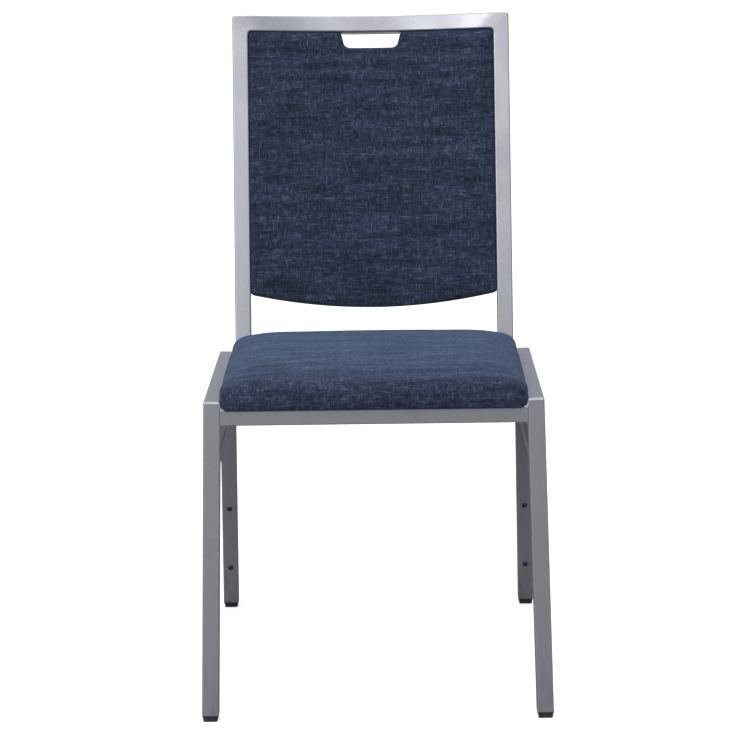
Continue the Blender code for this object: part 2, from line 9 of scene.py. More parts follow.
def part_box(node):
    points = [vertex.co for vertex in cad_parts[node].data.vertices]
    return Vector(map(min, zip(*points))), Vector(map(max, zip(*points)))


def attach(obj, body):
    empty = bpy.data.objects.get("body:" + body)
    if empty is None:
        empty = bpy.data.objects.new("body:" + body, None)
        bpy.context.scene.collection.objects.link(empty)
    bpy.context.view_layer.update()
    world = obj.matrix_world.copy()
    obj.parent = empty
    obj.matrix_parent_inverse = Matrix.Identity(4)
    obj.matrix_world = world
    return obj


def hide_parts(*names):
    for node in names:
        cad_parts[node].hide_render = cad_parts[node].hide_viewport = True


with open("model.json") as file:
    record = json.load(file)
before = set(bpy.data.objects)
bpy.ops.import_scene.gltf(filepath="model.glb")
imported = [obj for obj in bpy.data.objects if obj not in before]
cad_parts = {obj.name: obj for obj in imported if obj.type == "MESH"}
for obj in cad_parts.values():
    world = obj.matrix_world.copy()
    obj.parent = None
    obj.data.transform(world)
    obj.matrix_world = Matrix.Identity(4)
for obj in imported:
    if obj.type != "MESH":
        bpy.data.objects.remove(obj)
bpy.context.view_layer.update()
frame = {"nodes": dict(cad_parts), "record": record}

SCENE = bpy.context.scene
SIDES = ((1, "left"), (-1, "right"))

# Dimensions of the CAD, in metres
GAP = 0.0003            # between pieces that touch
TUBE = 0.0222           # outer width of the frame's tube
TUBE_CORNER = 0.002
STRETCHER = 0.018
RAIL_TOP = 0.4267
RAIL_LENGTH = 0.3833
RAIL_DROP = 0.0113
SIDE_HALF = 0.2105
SPLAY = math.radians(1.46)
FRONT_FOOT_REACH = 0.0296
REAR_RAKE = math.radians(17.2)
STRETCHER_DROP = 0.085
RECLINE = math.radians(11.0)
BACK_FOOT = Vector((0.0, 0.3627, 0.380))
BACK_HEIGHT = 0.5172
TOP_RAIL = 0.0222
BACK_HALF_LOW = 0.1988
BACK_HALF_TOP = 0.1972
BOW = 0.028
BOW_POWER = 1.25
RAIL_STEP = 0.010
FRONT_RAIL_Y = 0.0097
REAR_RAIL_Y = 0.3525
PAD_BOTTOM = 0.099
PAD_SAG = 0.0195
PAD_CORNER = 0.007
NOTCH_HALF_TOP = 0.0425
NOTCH_HALF_LOW = 0.0395
NOTCH_DEPTH = 0.0228
NOTCH_CORNER = 0.010
STRIP_FRONT = 0.0105
STRIP_REAR = 0.0195
STRIP_HEIGHT = 0.0026
CAP_HEIGHT = 0.0085
CAP_TAPER = 0.86

# Dimensions that differ a little from the CAD, so that no slit shows beside soft edges
PAD_SIDE_GAP = 0.0002
STRIP_HALF = 0.0423

REAR_FOOT_Y = RAIL_LENGTH + (RAIL_TOP - RAIL_DROP) * math.tan(REAR_RAKE)
MIDDLE_Y = (REAR_FOOT_Y - FRONT_FOOT_REACH) / 2
CHAIR = Matrix.Translation((0, -MIDDLE_Y, 0))
SEAT_TILT = math.atan(RAIL_DROP / RAIL_LENGTH)
SEAT = CHAIR @ Matrix.Translation((0, 0, RAIL_TOP)) @ Matrix.Rotation(-SEAT_TILT, 4, "X")
BACK = CHAIR @ Matrix.Translation(BACK_FOOT) @ Matrix.Rotation(-RECLINE, 4, "X")
SIDE_PLANE = {
    side: CHAIR @ Matrix.Translation((side * SIDE_HALF, 0, RAIL_TOP)) @ Matrix.Rotation(-side * SPLAY, 4, "Y")
    for side, _ in SIDES
}
SEAT_X, SEAT_Y, SEAT_Z = (SEAT.to_3x3() @ Vector(axis) for axis in ((1, 0, 0), (0, 1, 0), (0, 0, 1)))

# Flat places and directions in a side frame, which lies behind and below its front corner
LEG_DROP = RAIL_TOP / math.cos(SPLAY)
REAR_CORNER = Vector((RAIL_LENGTH, -RAIL_DROP))
FRONT_DOWN = Vector((-FRONT_FOOT_REACH, -LEG_DROP)).normalized()
REAR_DOWN = Vector((math.sin(REAR_RAKE), -math.cos(REAR_RAKE)))
ACROSS = {side: plane.to_3x3() @ Vector((1, 0, 0)) for side, plane in SIDE_PLANE.items()}

# Heights along the back
PAD_TOP = BACK_HEIGHT - TOP_RAIL - GAP
NOTCH_FLOOR = BACK_HEIGHT - TOP_RAIL - NOTCH_DEPTH


def linked(name, data):
    """A new object in the scene."""
    made = bpy.data.objects.new(name, data)
    SCENE.collection.objects.link(made)
    return made


# ---------------------------------------------------------------- camera, light and floor

def make_camera():
    data = bpy.data.cameras.new("camera")
    data.lens = 131.9
    data.sensor_width = 36.0
    camera = linked("camera", data)
    pitch, yaw, roll = (math.radians(angle) for angle in (12.12, 0.296, -0.789))
    turn = Matrix.Rotation(yaw, 3, "Z")
    forward = turn @ Vector((0, math.cos(pitch), -math.sin(pitch)))
    right = turn @ Vector((1, 0, 0))
    up = right.cross(forward)
    across = right * math.cos(roll) + up * math.sin(roll)
    upward = up * math.cos(roll) - right * math.sin(roll)
    pose = Matrix((across, upward, -forward)).transposed().to_4x4()
    pose.translation = (0.02004, -3.7189, 1.20661)
    camera.matrix_world = pose
    SCENE.camera = camera


def softbox(name, place, width, height, power):
    """A white area light, in front of the chair and aimed at its back pad."""
    data = bpy.data.lights.new(name, "AREA")
    data.shape = "RECTANGLE"
    data.size = width
    data.size_y = height
    data.energy = power
    light = linked(name, data)
    light.location = place
    light.rotation_euler = (Vector((0, 0.1, 0.75)) - Vector(place)).to_track_quat("-Z", "Y").to_euler()


def make_studio():
    """Soft light from above and the front left, over a floor that photographs white but bounces little."""
    world = bpy.data.worlds.new("studio")
    world.use_nodes = True
    SCENE.world = world
    sky = Nodes(world.node_tree)
    height = sky.height(sky.node("TexCoord", {}).outputs["Generated"])
    tone = sky.mix(sky.span(height, 0.0, 0.30), (0.05, 0.05, 0.055), (0.56, 0.58, 0.63))
    sky.feed(sky.tree.nodes["Background"].inputs["Color"], tone)

    softbox("key_softbox", (-2.15, -3.75, 2.1), 1.4, 1.3, 64)
    softbox("fill_softbox", (0.7, -4.0, 2.4), 1.5, 1.0, 20)
    sun = bpy.data.lights.new("overhead", "SUN")
    sun.energy = 1.25
    sun.angle = math.radians(70)
    sun.color = (0.97, 0.985, 1.0)
    linked("overhead", sun).rotation_euler = (math.radians(8), math.radians(-6), 0)
    SCENE.view_settings.view_transform = "Standard"
    SCENE.view_settings.look = "None"

    mesh = bpy.data.meshes.new("floor")
    reach = 60.0
    corners = [(-reach, -reach, 0), (reach, -reach, 0), (reach, reach, 0), (-reach, reach, 0)]
    mesh.from_pydata(corners, [], [(0, 1, 2, 3)])
    floor = linked("floor", mesh)
    s = Shader("floor")
    s.set(Base_Color=(0.20, 0.20, 0.195), Roughness=0.9, Specular_IOR_Level=0.1)
    pale = s.node("BsdfDiffuse", {"Color": (0.93, 0.93, 0.93)}).outputs[0]
    glow = s.node("Emission", {"Color": (1.0, 1.0, 1.0), "Strength": 0.45}).outputs[0]
    seen = s.node("AddShader", {0: pale, 1: glow}).outputs[0]
    direct = s.node("LightPath", {}).outputs["Is Camera Ray"]
    mixed = s.node("MixShader", {0: direct, 1: s.surface.outputs[0], 2: seen}).outputs[0]
    s.feed(s.tree.nodes["Material Output"].inputs["Surface"], mixed)
    mesh.materials.append(s.material)


# ---------------------------------------------------------------- materials

class Nodes:
    """A node tree, built by short calls. Inputs are sockets or plain values."""

    def __init__(self, tree):
        self.tree = tree

    def node(self, kind, inputs, **settings):
        made = self.tree.nodes.new("ShaderNode" + kind)
        for key, value in settings.items():
            setattr(made, key, value)
        for key, value in inputs.items():
            self.feed(made.inputs[key], value)
        return made

    def feed(self, socket, value):
        if isinstance(value, bpy.types.NodeSocket):
            self.tree.links.new(value, socket)
        elif isinstance(value, tuple) and len(value) == 3 and socket.type == "RGBA":
            socket.default_value = (*value, 1.0)
        else:
            socket.default_value = value

    def math(self, operation, first, second=0.0):
        return self.node("Math", {0: first, 1: second}, operation=operation).outputs[0]

    def stretched(self, vector, scale, place=(0, 0, 0)):
        return self.node("Mapping", {"Vector": vector, "Scale": scale, "Location": place}).outputs[0]

    def noise(self, vector, scale, detail=2.0, roughness=0.5, flat=False):
        made = self.node(
            "TexNoise",
            {"Vector": vector, "Scale": scale, "Detail": detail, "Roughness": roughness},
            noise_dimensions="2D" if flat else "3D",
        )
        return made.outputs[0]

    def drawn_out(self, cloth, scale, place, detail, roughness=0.5):
        """Noise over a flat cloth, with its own scale each way."""
        return self.noise(self.stretched(cloth, (*scale, 1), (*place, 0)), 1.0, detail, roughness, flat=True)

    def span(self, value, low, high, to_low=0.0, to_high=1.0):
        """value, mapped from one range to another and held within it."""
        made = self.node("MapRange", {0: value, 1: low, 2: high, 3: to_low, 4: to_high})
        return made.outputs[0]

    def mix(self, factor, first, second):
        made = self.node("Mix", {0: factor, 6: first, 7: second}, data_type="RGBA")
        return made.outputs[2]

    def bump(self, height, strength, distance, under=None):
        inputs = {"Height": height, "Strength": strength, "Distance": distance}
        if under is not None:
            inputs["Normal"] = under
        return self.node("Bump", inputs).outputs[0]

    def place(self):
        return self.node("TexCoord", {}).outputs["Object"]

    def height(self, vector):
        return self.node("SeparateXYZ", {0: vector}).outputs[2]

    def attribute(self, name, output):
        return self.node("Attribute", {}, attribute_name=name).outputs[output]


class Shader(Nodes):
    """The nodes of a new material round its principled shader."""

    def __init__(self, name):
        self.material = bpy.data.materials.new(name)
        self.material.use_nodes = True
        super().__init__(self.material.node_tree)
        self.surface = self.tree.nodes["Principled BSDF"]

    def set(self, **inputs):
        for key, value in inputs.items():
            self.feed(self.surface.inputs[key.replace("_", " ")], value)


THREAD_PITCH = 0.0011


def slub_fabric(name, base, light, dark, sheen_tint):
    """A plain weave with long thick and thin places both ways, as in a linen-look upholstery cloth."""
    s = Shader(name)
    cloth = s.attribute("weave", "Vector")
    wobble = s.noise(cloth, 55.0, 1.0, flat=True)
    wander = s.node("VectorMath", {0: wobble, 1: (0.0022, 0.0022, 0.0)}, operation="MULTIPLY").outputs[0]
    cloth = s.node("VectorMath", {0: cloth, 1: wander}, operation="ADD").outputs[0]
    weft = s.drawn_out(cloth, (70, 500), (0, 0), 2.2, 0.6)
    warp = s.drawn_out(cloth, (500, 76), (31, 17), 2.2, 0.6)
    patch = s.span(s.drawn_out(cloth, (80, 80), (7, 3), 2.0), 0.43, 0.57)
    thread = s.node("Mix", {0: patch, 2: weft, 3: warp}, data_type="FLOAT").outputs[0]

    long_weft = s.drawn_out(cloth, (64, 430), (91, 5), 0.6)
    long_warp = s.drawn_out(cloth, (430, 72), (13, 57), 0.6)
    slub = s.math("MAXIMUM", s.span(long_weft, 0.66, 0.84), s.span(long_warp, 0.67, 0.84))
    split = s.node("SeparateXYZ", {0: cloth})
    pitch = 2 * math.pi / THREAD_PITCH
    across = s.math("SINE", s.math("MULTIPLY", split.outputs[0], pitch))
    along = s.math("SINE", s.math("MULTIPLY", split.outputs[1], pitch))
    weave = s.math("MULTIPLY", across, along)

    tone = s.mix(s.span(thread, 0.26, 0.56), dark, base)
    tone = s.mix(s.span(thread, 0.52, 0.80), tone, light)
    tone = s.mix(s.math("MULTIPLY", slub, 0.70), tone, tuple(min(1.0, c * 1.35) for c in light))
    tinge = s.span(s.drawn_out(cloth, (120, 120), (3, 71), 2.0), 0.45, 0.70)
    tone = s.mix(s.math("MULTIPLY", tinge, 0.30), tone, (0.026, 0.028, 0.050))
    cloud = s.span(s.noise(cloth, 16.0, 3.0, 0.6, flat=True), 0.3, 0.7, 0.88, 1.12)
    weft_streak = s.drawn_out(cloth, (9, 95), (5, 9), 2.5, 0.65)
    warp_streak = s.drawn_out(cloth, (110, 12), (2, 8), 2.5, 0.65)
    weft_shade = s.span(weft_streak, 0.32, 0.68, 0.74, 1.28)
    warp_shade = s.span(warp_streak, 0.32, 0.68, 0.90, 1.10)
    streaks = s.math("MULTIPLY", weft_shade, warp_shade)
    weave_shade = s.span(weave, -1.0, 1.0, 0.88, 1.10)
    shade = s.math("MULTIPLY", s.math("MULTIPLY", cloud, weave_shade), streaks)
    tone = s.node("Mix", {0: 1.0, 6: tone, 7: shade}, data_type="RGBA", blend_type="MULTIPLY").outputs[2]

    ripple = s.drawn_out(cloth, (10, 36), (23, 61), 1.5)
    relief = s.math("ADD", s.math("MULTIPLY", weave, 0.5), s.math("MULTIPLY", thread, 2.2))
    relief = s.math("ADD", relief, slub)
    relief = s.math("ADD", relief, s.math("MULTIPLY", weft_streak, 6.0))
    relief = s.math("ADD", relief, s.math("MULTIPLY", ripple, 22.0))
    s.set(
        Base_Color=tone, Roughness=s.span(thread, 0.3, 0.7, 0.95, 0.78), Normal=s.bump(relief, 0.45, 0.00035),
        Sheen_Weight=0.30, Sheen_Roughness=0.42, Sheen_Tint=sheen_tint, Specular_IOR_Level=0.18,
    )
    return s.material


def powder_coated(name, light, dark):
    """Fine metallic powder coat: flake sparkle, a little orange peel, paler edges that are a painted
    highlight broken up like wear, and faint grime.
    """
    s = Shader(name)
    place = s.place()
    flake = s.noise(place, 1900.0, 2.0, 0.7)
    haze = s.noise(place, 14.0, 4.0, 0.6)
    streak = s.noise(s.stretched(place, (90, 90, 9)), 1.0, 3.0, 0.55)
    tone = s.mix(s.span(flake, 0.32, 0.68), dark, light)
    tone = s.mix(s.span(haze, 0.45, 0.80, 0.0, 0.22), tone, tuple(c * 0.72 for c in dark))
    # Painted highlight: the tube corners, marked by the edge attribute, are made paler, broken up by noise
    # like wear.
    edge = s.attribute("edge", "Fac")
    edge_highlight_and_wear = s.math("MULTIPLY", edge, s.span(s.noise(place, 120.0, 3.0, 0.7), 0.38, 0.62, 0.25, 1.0))
    tone = s.mix(s.math("MULTIPLY", edge_highlight_and_wear, 0.55), tone, (0.66, 0.66, 0.68))
    scuffed = s.math("MULTIPLY", s.span(s.height(place), 0.0, 0.09, 0.5, 0.0), s.span(streak, 0.42, 0.62))
    tone = s.mix(scuffed, tone, (0.11, 0.105, 0.10))
    peel = s.bump(s.noise(place, 420.0, 2.0), 0.16, 0.0006)
    grain = s.bump(flake, 0.12, 0.00012, peel)
    rough = s.math("ADD", s.span(haze, 0.3, 0.7, 0.36, 0.46), s.math("MULTIPLY", scuffed, 0.3))
    s.set(
        Base_Color=tone, Roughness=rough, Metallic=0.74, Normal=grain,
        Coat_Weight=0.18, Coat_Roughness=0.28, Specular_IOR_Level=0.5,
    )
    return s.material


def moulded_plastic(name, light, dark, roughness):
    """Moulded plastic with a fine eroded texture, mottled tone and dusty low edges."""
    s = Shader(name)
    place = s.place()
    grain = s.noise(place, 1400.0, 3.0, 0.6)
    cloud = s.noise(place, 160.0, 3.0, 0.55)
    tone = s.mix(s.span(grain, 0.3, 0.7), dark, light)
    dust = s.math("MULTIPLY", s.span(s.height(place), 0.0, 0.004, 0.35, 0.0), s.span(cloud, 0.4, 0.7))
    tone = s.mix(dust, tone, (0.20, 0.19, 0.17))
    s.set(
        Base_Color=tone, Roughness=s.span(cloud, 0.3, 0.7, roughness - 0.07, roughness + 0.07),
        Normal=s.bump(grain, 0.25, 0.00015), Specular_IOR_Level=0.45,
    )
    return s.material


def plywood(name):
    """Plywood darkened nearly to black as painted shade, so that its edges read as shadow gaps where they
    show between the covers.
    """
    s = Shader(name)
    place = s.place()
    grain = s.noise(s.stretched(place, (260, 9, 260)), 1.0, 5.0, 0.65)
    ring = s.noise(s.stretched(place, (30, 2.2, 30)), 1.0, 2.0)
    # Painted shade: the board's tones are kept near black so that its edges look like shadow in the seams.
    tone = s.mix(s.span(grain, 0.3, 0.7), (0.016, 0.014, 0.014), (0.040, 0.035, 0.034))
    tone = s.mix(s.span(ring, 0.42, 0.60, 0.0, 0.5), tone, (0.012, 0.011, 0.012))
    s.set(
        Base_Color=tone, Roughness=s.span(grain, 0.3, 0.7, 0.62, 0.8), Normal=s.bump(grain, 0.3, 0.0003),
        Specular_IOR_Level=0.3,
    )
    return s.material


def black_cloth(name):
    """Non-woven dust cloth: pressed fibres with a grid of bonding dots."""
    s = Shader(name)
    place = s.place()
    fibre = s.noise(s.stretched(place, (900, 350, 900)), 1.0, 4.0, 0.7)
    dots = s.node("TexVoronoi", {"Vector": place, "Scale": 620.0, "Randomness": 0.15}).outputs[0]
    dimple = s.span(dots, 0.15, 0.45)
    tone = s.mix(s.span(fibre, 0.35, 0.65), (0.010, 0.010, 0.011), (0.034, 0.034, 0.036))
    tone = s.mix(s.math("MULTIPLY", s.span(dimple, 0.0, 1.0, 1.0, 0.0), 0.5), tone, (0.05, 0.05, 0.052))
    relief = s.math("ADD", dimple, s.math("MULTIPLY", fibre, 0.8))
    s.set(
        Base_Color=tone, Roughness=s.span(fibre, 0.3, 0.7, 0.8, 0.95), Normal=s.bump(relief, 0.4, 0.0002),
        Sheen_Weight=0.15, Sheen_Roughness=0.5, Specular_IOR_Level=0.25,
    )
    return s.material


def zinc(name):
    s = Shader(name)
    place = s.place()
    cloud = s.noise(place, 420.0, 4.0, 0.65)
    grain = s.noise(place, 2600.0, 2.0)
    tone = s.mix(s.span(cloud, 0.3, 0.7), (0.46, 0.46, 0.44), (0.70, 0.71, 0.72))
    s.set(
        Base_Color=tone, Metallic=1.0, Roughness=s.span(cloud, 0.3, 0.7, 0.24, 0.46),
        Normal=s.bump(grain, 0.15, 0.0001),
    )
    return s.material


# ---------------------------------------------------------------- small geometry helpers

def bowed(x):
    """How far the back curves away from the sitter at a distance from its middle."""
    share = min(abs(x) / (BACK_HALF_TOP - TUBE), 1.0)
    return BOW * (1.0 - share * share) ** BOW_POWER


def back_half(height):
    """Half the back's outer width at a height along the uprights."""
    return BACK_HALF_LOW + (BACK_HALF_TOP - BACK_HALF_LOW) * height / BACK_HEIGHT


def smooth(value, low, high):
    """0 below low, 1 above high, and an even curve between."""
    share = min(max((value - low) / (high - low), 0.0), 1.0)
    return share * share * (3 - 2 * share)


def arc(x, y, radius, start, end, steps):
    """Points round a flat arc, from one angle in degrees to another."""
    angles = [math.radians(start + (end - start) * i / steps) for i in range(steps + 1)]
    return [(x + radius * math.cos(angle), y + radius * math.sin(angle)) for angle in angles]


def square_profile(corner, steps=5):
    """Points round a unit square with rounded corners, and how near each is to the middle of a corner."""
    points = []
    far = 1 - corner
    for quarter, (cx, cy) in enumerate(((far, far), (corner, far), (corner, corner), (far, corner))):
        start = 90 * quarter
        for i, (x, y) in enumerate(arc(cx, cy, corner, start, start + 90, steps)):
            points.append((x, y, math.sin(math.pi * i / steps)))
    return points


def add_piece(name, mesh, material, replaced=(), matrix=None):
    """Links a finished mesh as a piece of the chair. matrix takes it into the chair's frame."""
    if matrix is not None:
        mesh.transform(matrix)
    piece = linked(name, mesh)
    mesh.materials.clear()
    mesh.materials.append(material)
    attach(piece, "root")
    if replaced:
        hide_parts(*replaced)
    return piece


def set_normals(mesh, vertex_normals, cap_faces):
    """Smooth shading with the given normals, but flat end caps."""
    mesh.shade_smooth()
    loops = []
    for face in mesh.polygons:
        for index in face.vertices:
            loops.append(face.normal if face.index in cap_faces else vertex_normals[index])
    mesh.normals_split_custom_set(loops)


def loft(name, rings, highlight_and_wear=None, first=0, last=None):
    """A closed mesh through rings of points. first and last pick the rings that it keeps, while its
    normals come from all of them, so that neighbours cut from one loft shade as one surface."""
    last = len(rings) - 1 if last is None else last
    count = len(rings[0])
    normals = {}
    for r in range(len(rings) - 1):
        for i in range(count):
            j = (i + 1) % count
            a, b, c, d = rings[r][i], rings[r][j], rings[r + 1][j], rings[r + 1][i]
            area = (c - a).cross(d - b)
            for key in ((r, i), (r, j), (r + 1, j), (r + 1, i)):
                normals[key] = normals.get(key, Vector()) + area
    points = []
    vertex_normals = []
    highlight_and_wear_marks = []
    for r in range(first, last + 1):
        for i in range(count):
            points.append(rings[r][i])
            vertex_normals.append(normals[(r, i)].normalized())
            highlight_and_wear_marks.append(highlight_and_wear[i] if highlight_and_wear else 0.0)
    faces = []
    for r in range(last - first):
        for i in range(count):
            j = (i + 1) % count
            faces.append((r * count + i, r * count + j, (r + 1) * count + j, (r + 1) * count + i))
    caps = {len(faces), len(faces) + 1}
    faces.append(tuple(reversed(range(count))))
    faces.append(tuple((last - first) * count + i for i in range(count)))
    mesh = bpy.data.meshes.new(name)
    mesh.from_pydata(points, [], faces)
    mesh.update()
    if sum(face.center.dot(face.normal) * face.area for face in mesh.polygons) < 0:
        mesh.flip_normals()
        vertex_normals = [-normal for normal in vertex_normals]
    set_normals(mesh, vertex_normals, caps)
    # The edge attribute carries the powder coat's painted edge highlight, broken up like wear.
    edge = mesh.attributes.new("edge", "FLOAT", "POINT")
    edge.data.foreach_set("value", highlight_and_wear_marks)
    return mesh


# ---------------------------------------------------------------- welded frame

SHOULDER = 0.0034       # rounding of the ground mitres, outside
SIDE_INNER = 0.0016     # and inside, of the side frames
BACK_INNER = 0.0055     # and of the back
CORNER_STEPS = 6        # even, so that the middle step lies on the mitre
FINER_STEPS = 44        # along the bowed top rail
TUBE_PROFILE = square_profile(TUBE_CORNER / TUBE)


def turned_left(direction):
    return Vector((-direction.y, direction.x))


def side_place(side, flat, across=0.0):
    """Where a flat place of a side frame is on the chair."""
    return SIDE_PLANE[side] @ Vector((across, flat.x, flat.y))


def side_way(side, flat):
    """Which way a flat direction of a side frame points on the chair."""
    return SIDE_PLANE[side].to_3x3() @ Vector((0, flat.x, flat.y))


def corner_arc(corner, before, after, radius):
    """Points round a corner of a flat path whose directions are before and after."""
    turn = before.angle_signed(after)
    reach = radius * math.tan(abs(turn) / 2)
    side = turned_left(before) * (-1 if turn > 0 else 1)
    centre = corner - before * reach + side * radius
    start = corner - before * reach - centre
    points = []
    for i in range(CORNER_STEPS + 1):
        points.append(centre + Matrix.Rotation(-turn * i / CORNER_STEPS, 2) @ start)
    return points


def meet(point_a, along_a, point_b, along_b):
    """Where two flat lines cross."""
    cross = along_a.x * along_b.y - along_a.y * along_b.x
    offset = point_b - point_a
    return point_a + along_a * ((offset.x * along_b.y - offset.y * along_b.x) / cross)


def bent_frame(corners, widths, inner_radius, finer=None):
    """Pairs of outer and inner points along a path of straight tubes with ground mitres.

    corners are the path's outer points, clockwise, and widths the tube's size along each straight.
    finer is the index of a straight that is also divided into short steps. Returns the pairs, and the
    index of the pair on each mitre.
    """
    ways = [(b - a).normalized() for a, b in zip(corners, corners[1:])]
    inner_lines = []
    for corner, way, width in zip(corners, ways, widths):
        inner_lines.append(corner - turned_left(way) * width)
    pairs = [(corners[0], inner_lines[0])]
    mitres = []
    for i in range(len(ways) - 1):
        inner = meet(inner_lines[i], ways[i], inner_lines[i + 1], ways[i + 1])
        outer_arc = corner_arc(corners[i + 1], ways[i], ways[i + 1], SHOULDER)
        inner_arc = corner_arc(inner, ways[i], ways[i + 1], inner_radius)
        if finer == i:
            last = pairs[-1]
            for step in range(1, FINER_STEPS):
                share = step / FINER_STEPS
                pairs.append((last[0].lerp(outer_arc[0], share), last[1].lerp(inner_arc[0], share)))
        mitres.append(len(pairs) + CORNER_STEPS // 2)
        pairs += list(zip(outer_arc, inner_arc))
    pairs.append((corners[-1], corners[-1] - turned_left(ways[-1]) * widths[-1]))
    return pairs, mitres


def rings_along(pairs, lift):
    """The tube's ring at each pair of points. lift(flat point, share of the tube's depth) gives a place."""
    return [[lift(outer.lerp(inner, a), b) for a, b, _ in TUBE_PROFILE] for outer, inner in pairs]


def add_spans(rings, spans):
    """A coated piece for each named span of rings, all cut from one loft."""
    # How near each point is to a corner, for the painted edge highlight.
    highlight_and_wear = [point[2] for point in TUBE_PROFILE]
    for name, (first, last) in spans.items():
        mesh = loft(name, rings, highlight_and_wear, first, last)
        add_piece("coated_" + name, mesh, COAT, (name,))


def cut_level(rings, first, height):
    """Slides the points of an end ring along the tube to a level."""
    near = rings[0] if first else rings[-1]
    far = rings[1] if first else rings[-2]
    for i, point in enumerate(near):
        way = far[i] - point
        near[i] = point + way * ((height - point.z) / way.z)


def side_frames():
    """Front leg, side rail and rear leg of each side."""
    front_foot = Vector((-FRONT_FOOT_REACH, -LEG_DROP))
    rear_foot = REAR_CORNER + Vector((math.tan(REAR_RAKE), -1)) * (LEG_DROP - RAIL_DROP)
    path = [front_foot, Vector((0, 0)), REAR_CORNER, rear_foot]
    pairs, (front, rear) = bent_frame(path, (TUBE, TUBE, TUBE), SIDE_INNER)
    for side, name in SIDES:
        rings = rings_along(pairs, lambda flat, share: side_place(side, flat, (share - 0.5) * TUBE))
        cut_level(rings, True, CAP_HEIGHT + GAP)
        cut_level(rings, False, CAP_HEIGHT + GAP)
        add_spans(rings, {
            "front_leg_" + name: (0, front),
            "side_rail_" + name: (front, rear),
            "rear_leg_" + name: (rear, len(rings) - 1),
        })


def back_frame():
    """The two uprights and the bowed top rail."""
    half = back_half(BACK_HEIGHT)
    corners = [(-BACK_HALF_LOW, 0), (-half, BACK_HEIGHT), (half, BACK_HEIGHT), (BACK_HALF_LOW, 0)]
    path = [Vector(corner) for corner in corners]
    pairs, (right, left) = bent_frame(path, (TUBE, TOP_RAIL, TUBE), BACK_INNER, finer=1)

    def lift(flat, share):
        return BACK @ Vector((flat.x, share * TUBE + bowed(flat.x), flat.y))

    rings = rings_along(pairs, lift)
    add_spans(rings, {
        "back_upright_right": (0, right),
        "top_rail": (right, left),
        "back_upright_left": (left, len(rings) - 1),
    })


def grip_strip():
    """The bowed steel strip under the rear of the top rail, over the hand hold."""
    high = BACK_HEIGHT - TOP_RAIL + 0.0002
    steps = 24
    rings = []
    for i in range(steps + 1):
        x = STRIP_HALF * (2 * i / steps - 1)
        shrink = 0.0006 if i in (0, steps) else 0.0
        ring = []
        for a, b, _ in square_profile(0.12, 3):
            y = STRIP_FRONT + shrink + a * (STRIP_REAR - STRIP_FRONT - 2 * shrink) + bowed(x)
            ring.append(BACK @ Vector((x, y, high - STRIP_HEIGHT + shrink + b * (STRIP_HEIGHT - shrink))))
        rings.append(ring)
    add_piece("coated_grip_strip", loft("grip_strip", rings), COAT, ("grip_strip",))


def straight_tube(name, ends, normals, across, width, bores=()):
    """A tube between two points, each end cut flush with the face whose normal is given."""
    axis = (ends[1] - ends[0]).normalized()
    third = axis.cross(across).normalized()
    side = third.cross(axis)
    profile = square_profile(TUBE_CORNER / width)
    rings = []
    for end, normal in zip(ends, normals):
        ring = []
        for a, b, _ in profile:
            offset = side * ((a - 0.5) * width) + third * ((b - 0.5) * width)
            ring.append(end + offset - axis * (offset.dot(normal) / axis.dot(normal)))
        rings.append(ring)
    mesh = loft(name, rings, [point[2] for point in profile])
    if bores:
        mesh = bored(name, mesh, bores)
    add_piece("coated_" + name, mesh, COAT, (name,))


def bored(name, mesh, bores):
    """The mesh with some solids taken out of it, shaded smooth between its sharp edges."""
    holder = linked(name, mesh)
    mesh.attributes.remove(mesh.attributes["custom_normal"])
    tools = []
    for bore in bores:
        tool = linked("bore", bore)
        hole = holder.modifiers.new("bore", "BOOLEAN")
        hole.solver = "EXACT"
        hole.object = tool
        tools.append(tool)
    result = applied(name, holder)
    for tool in tools:
        bpy.data.objects.remove(tool)
    result.shade_smooth()
    result.set_sharp_from_angle(angle=math.radians(50))
    holder = linked(name, result)
    weighted = holder.modifiers.new("normals", "WEIGHTED_NORMAL")
    weighted.keep_sharp = True
    return applied(name, holder)


ACCESS_RADIUS = 0.0054


def access_holes(end_name):
    """Solids of the holes in a rail's floor through which its two seat screws are driven."""
    holes = []
    for _, name in SIDES:
        low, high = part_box("seat_screw_%s_%s" % (end_name, name))
        place = SEAT.inverted() @ ((low + high) / 2)
        place.z = -RAIL_STEP
        profile = [(ACCESS_RADIUS, 0.0015), (ACCESS_RADIUS, TUBE + 0.002)]
        holes.append(lathe("access_hole", profile, facing_matrix(SEAT @ place, -SEAT_Z)))
    return holes


def cross_rails():
    """The two rails under the seat. Returns where each meets the side frames, for the welds."""
    ends = {}
    for name, y in (("front", FRONT_RAIL_Y), ("rear", REAR_RAIL_Y)):
        centre = SEAT @ Vector((0, y, -RAIL_STEP - TUBE / 2))
        for side, side_name in SIDES:
            face = side_place(side, Vector((0, 0)), -side * TUBE / 2)
            share = (face - centre).dot(ACROSS[side]) / SEAT_X.dot(ACROSS[side])
            ends[name, side_name] = centre + SEAT_X * share
        places = [ends[name, side_name] for _, side_name in SIDES]
        normals = [ACROSS[side] for side, _ in SIDES]
        straight_tube(name + "_rail", places, normals, SEAT_Y, TUBE, access_holes(name))
    return ends


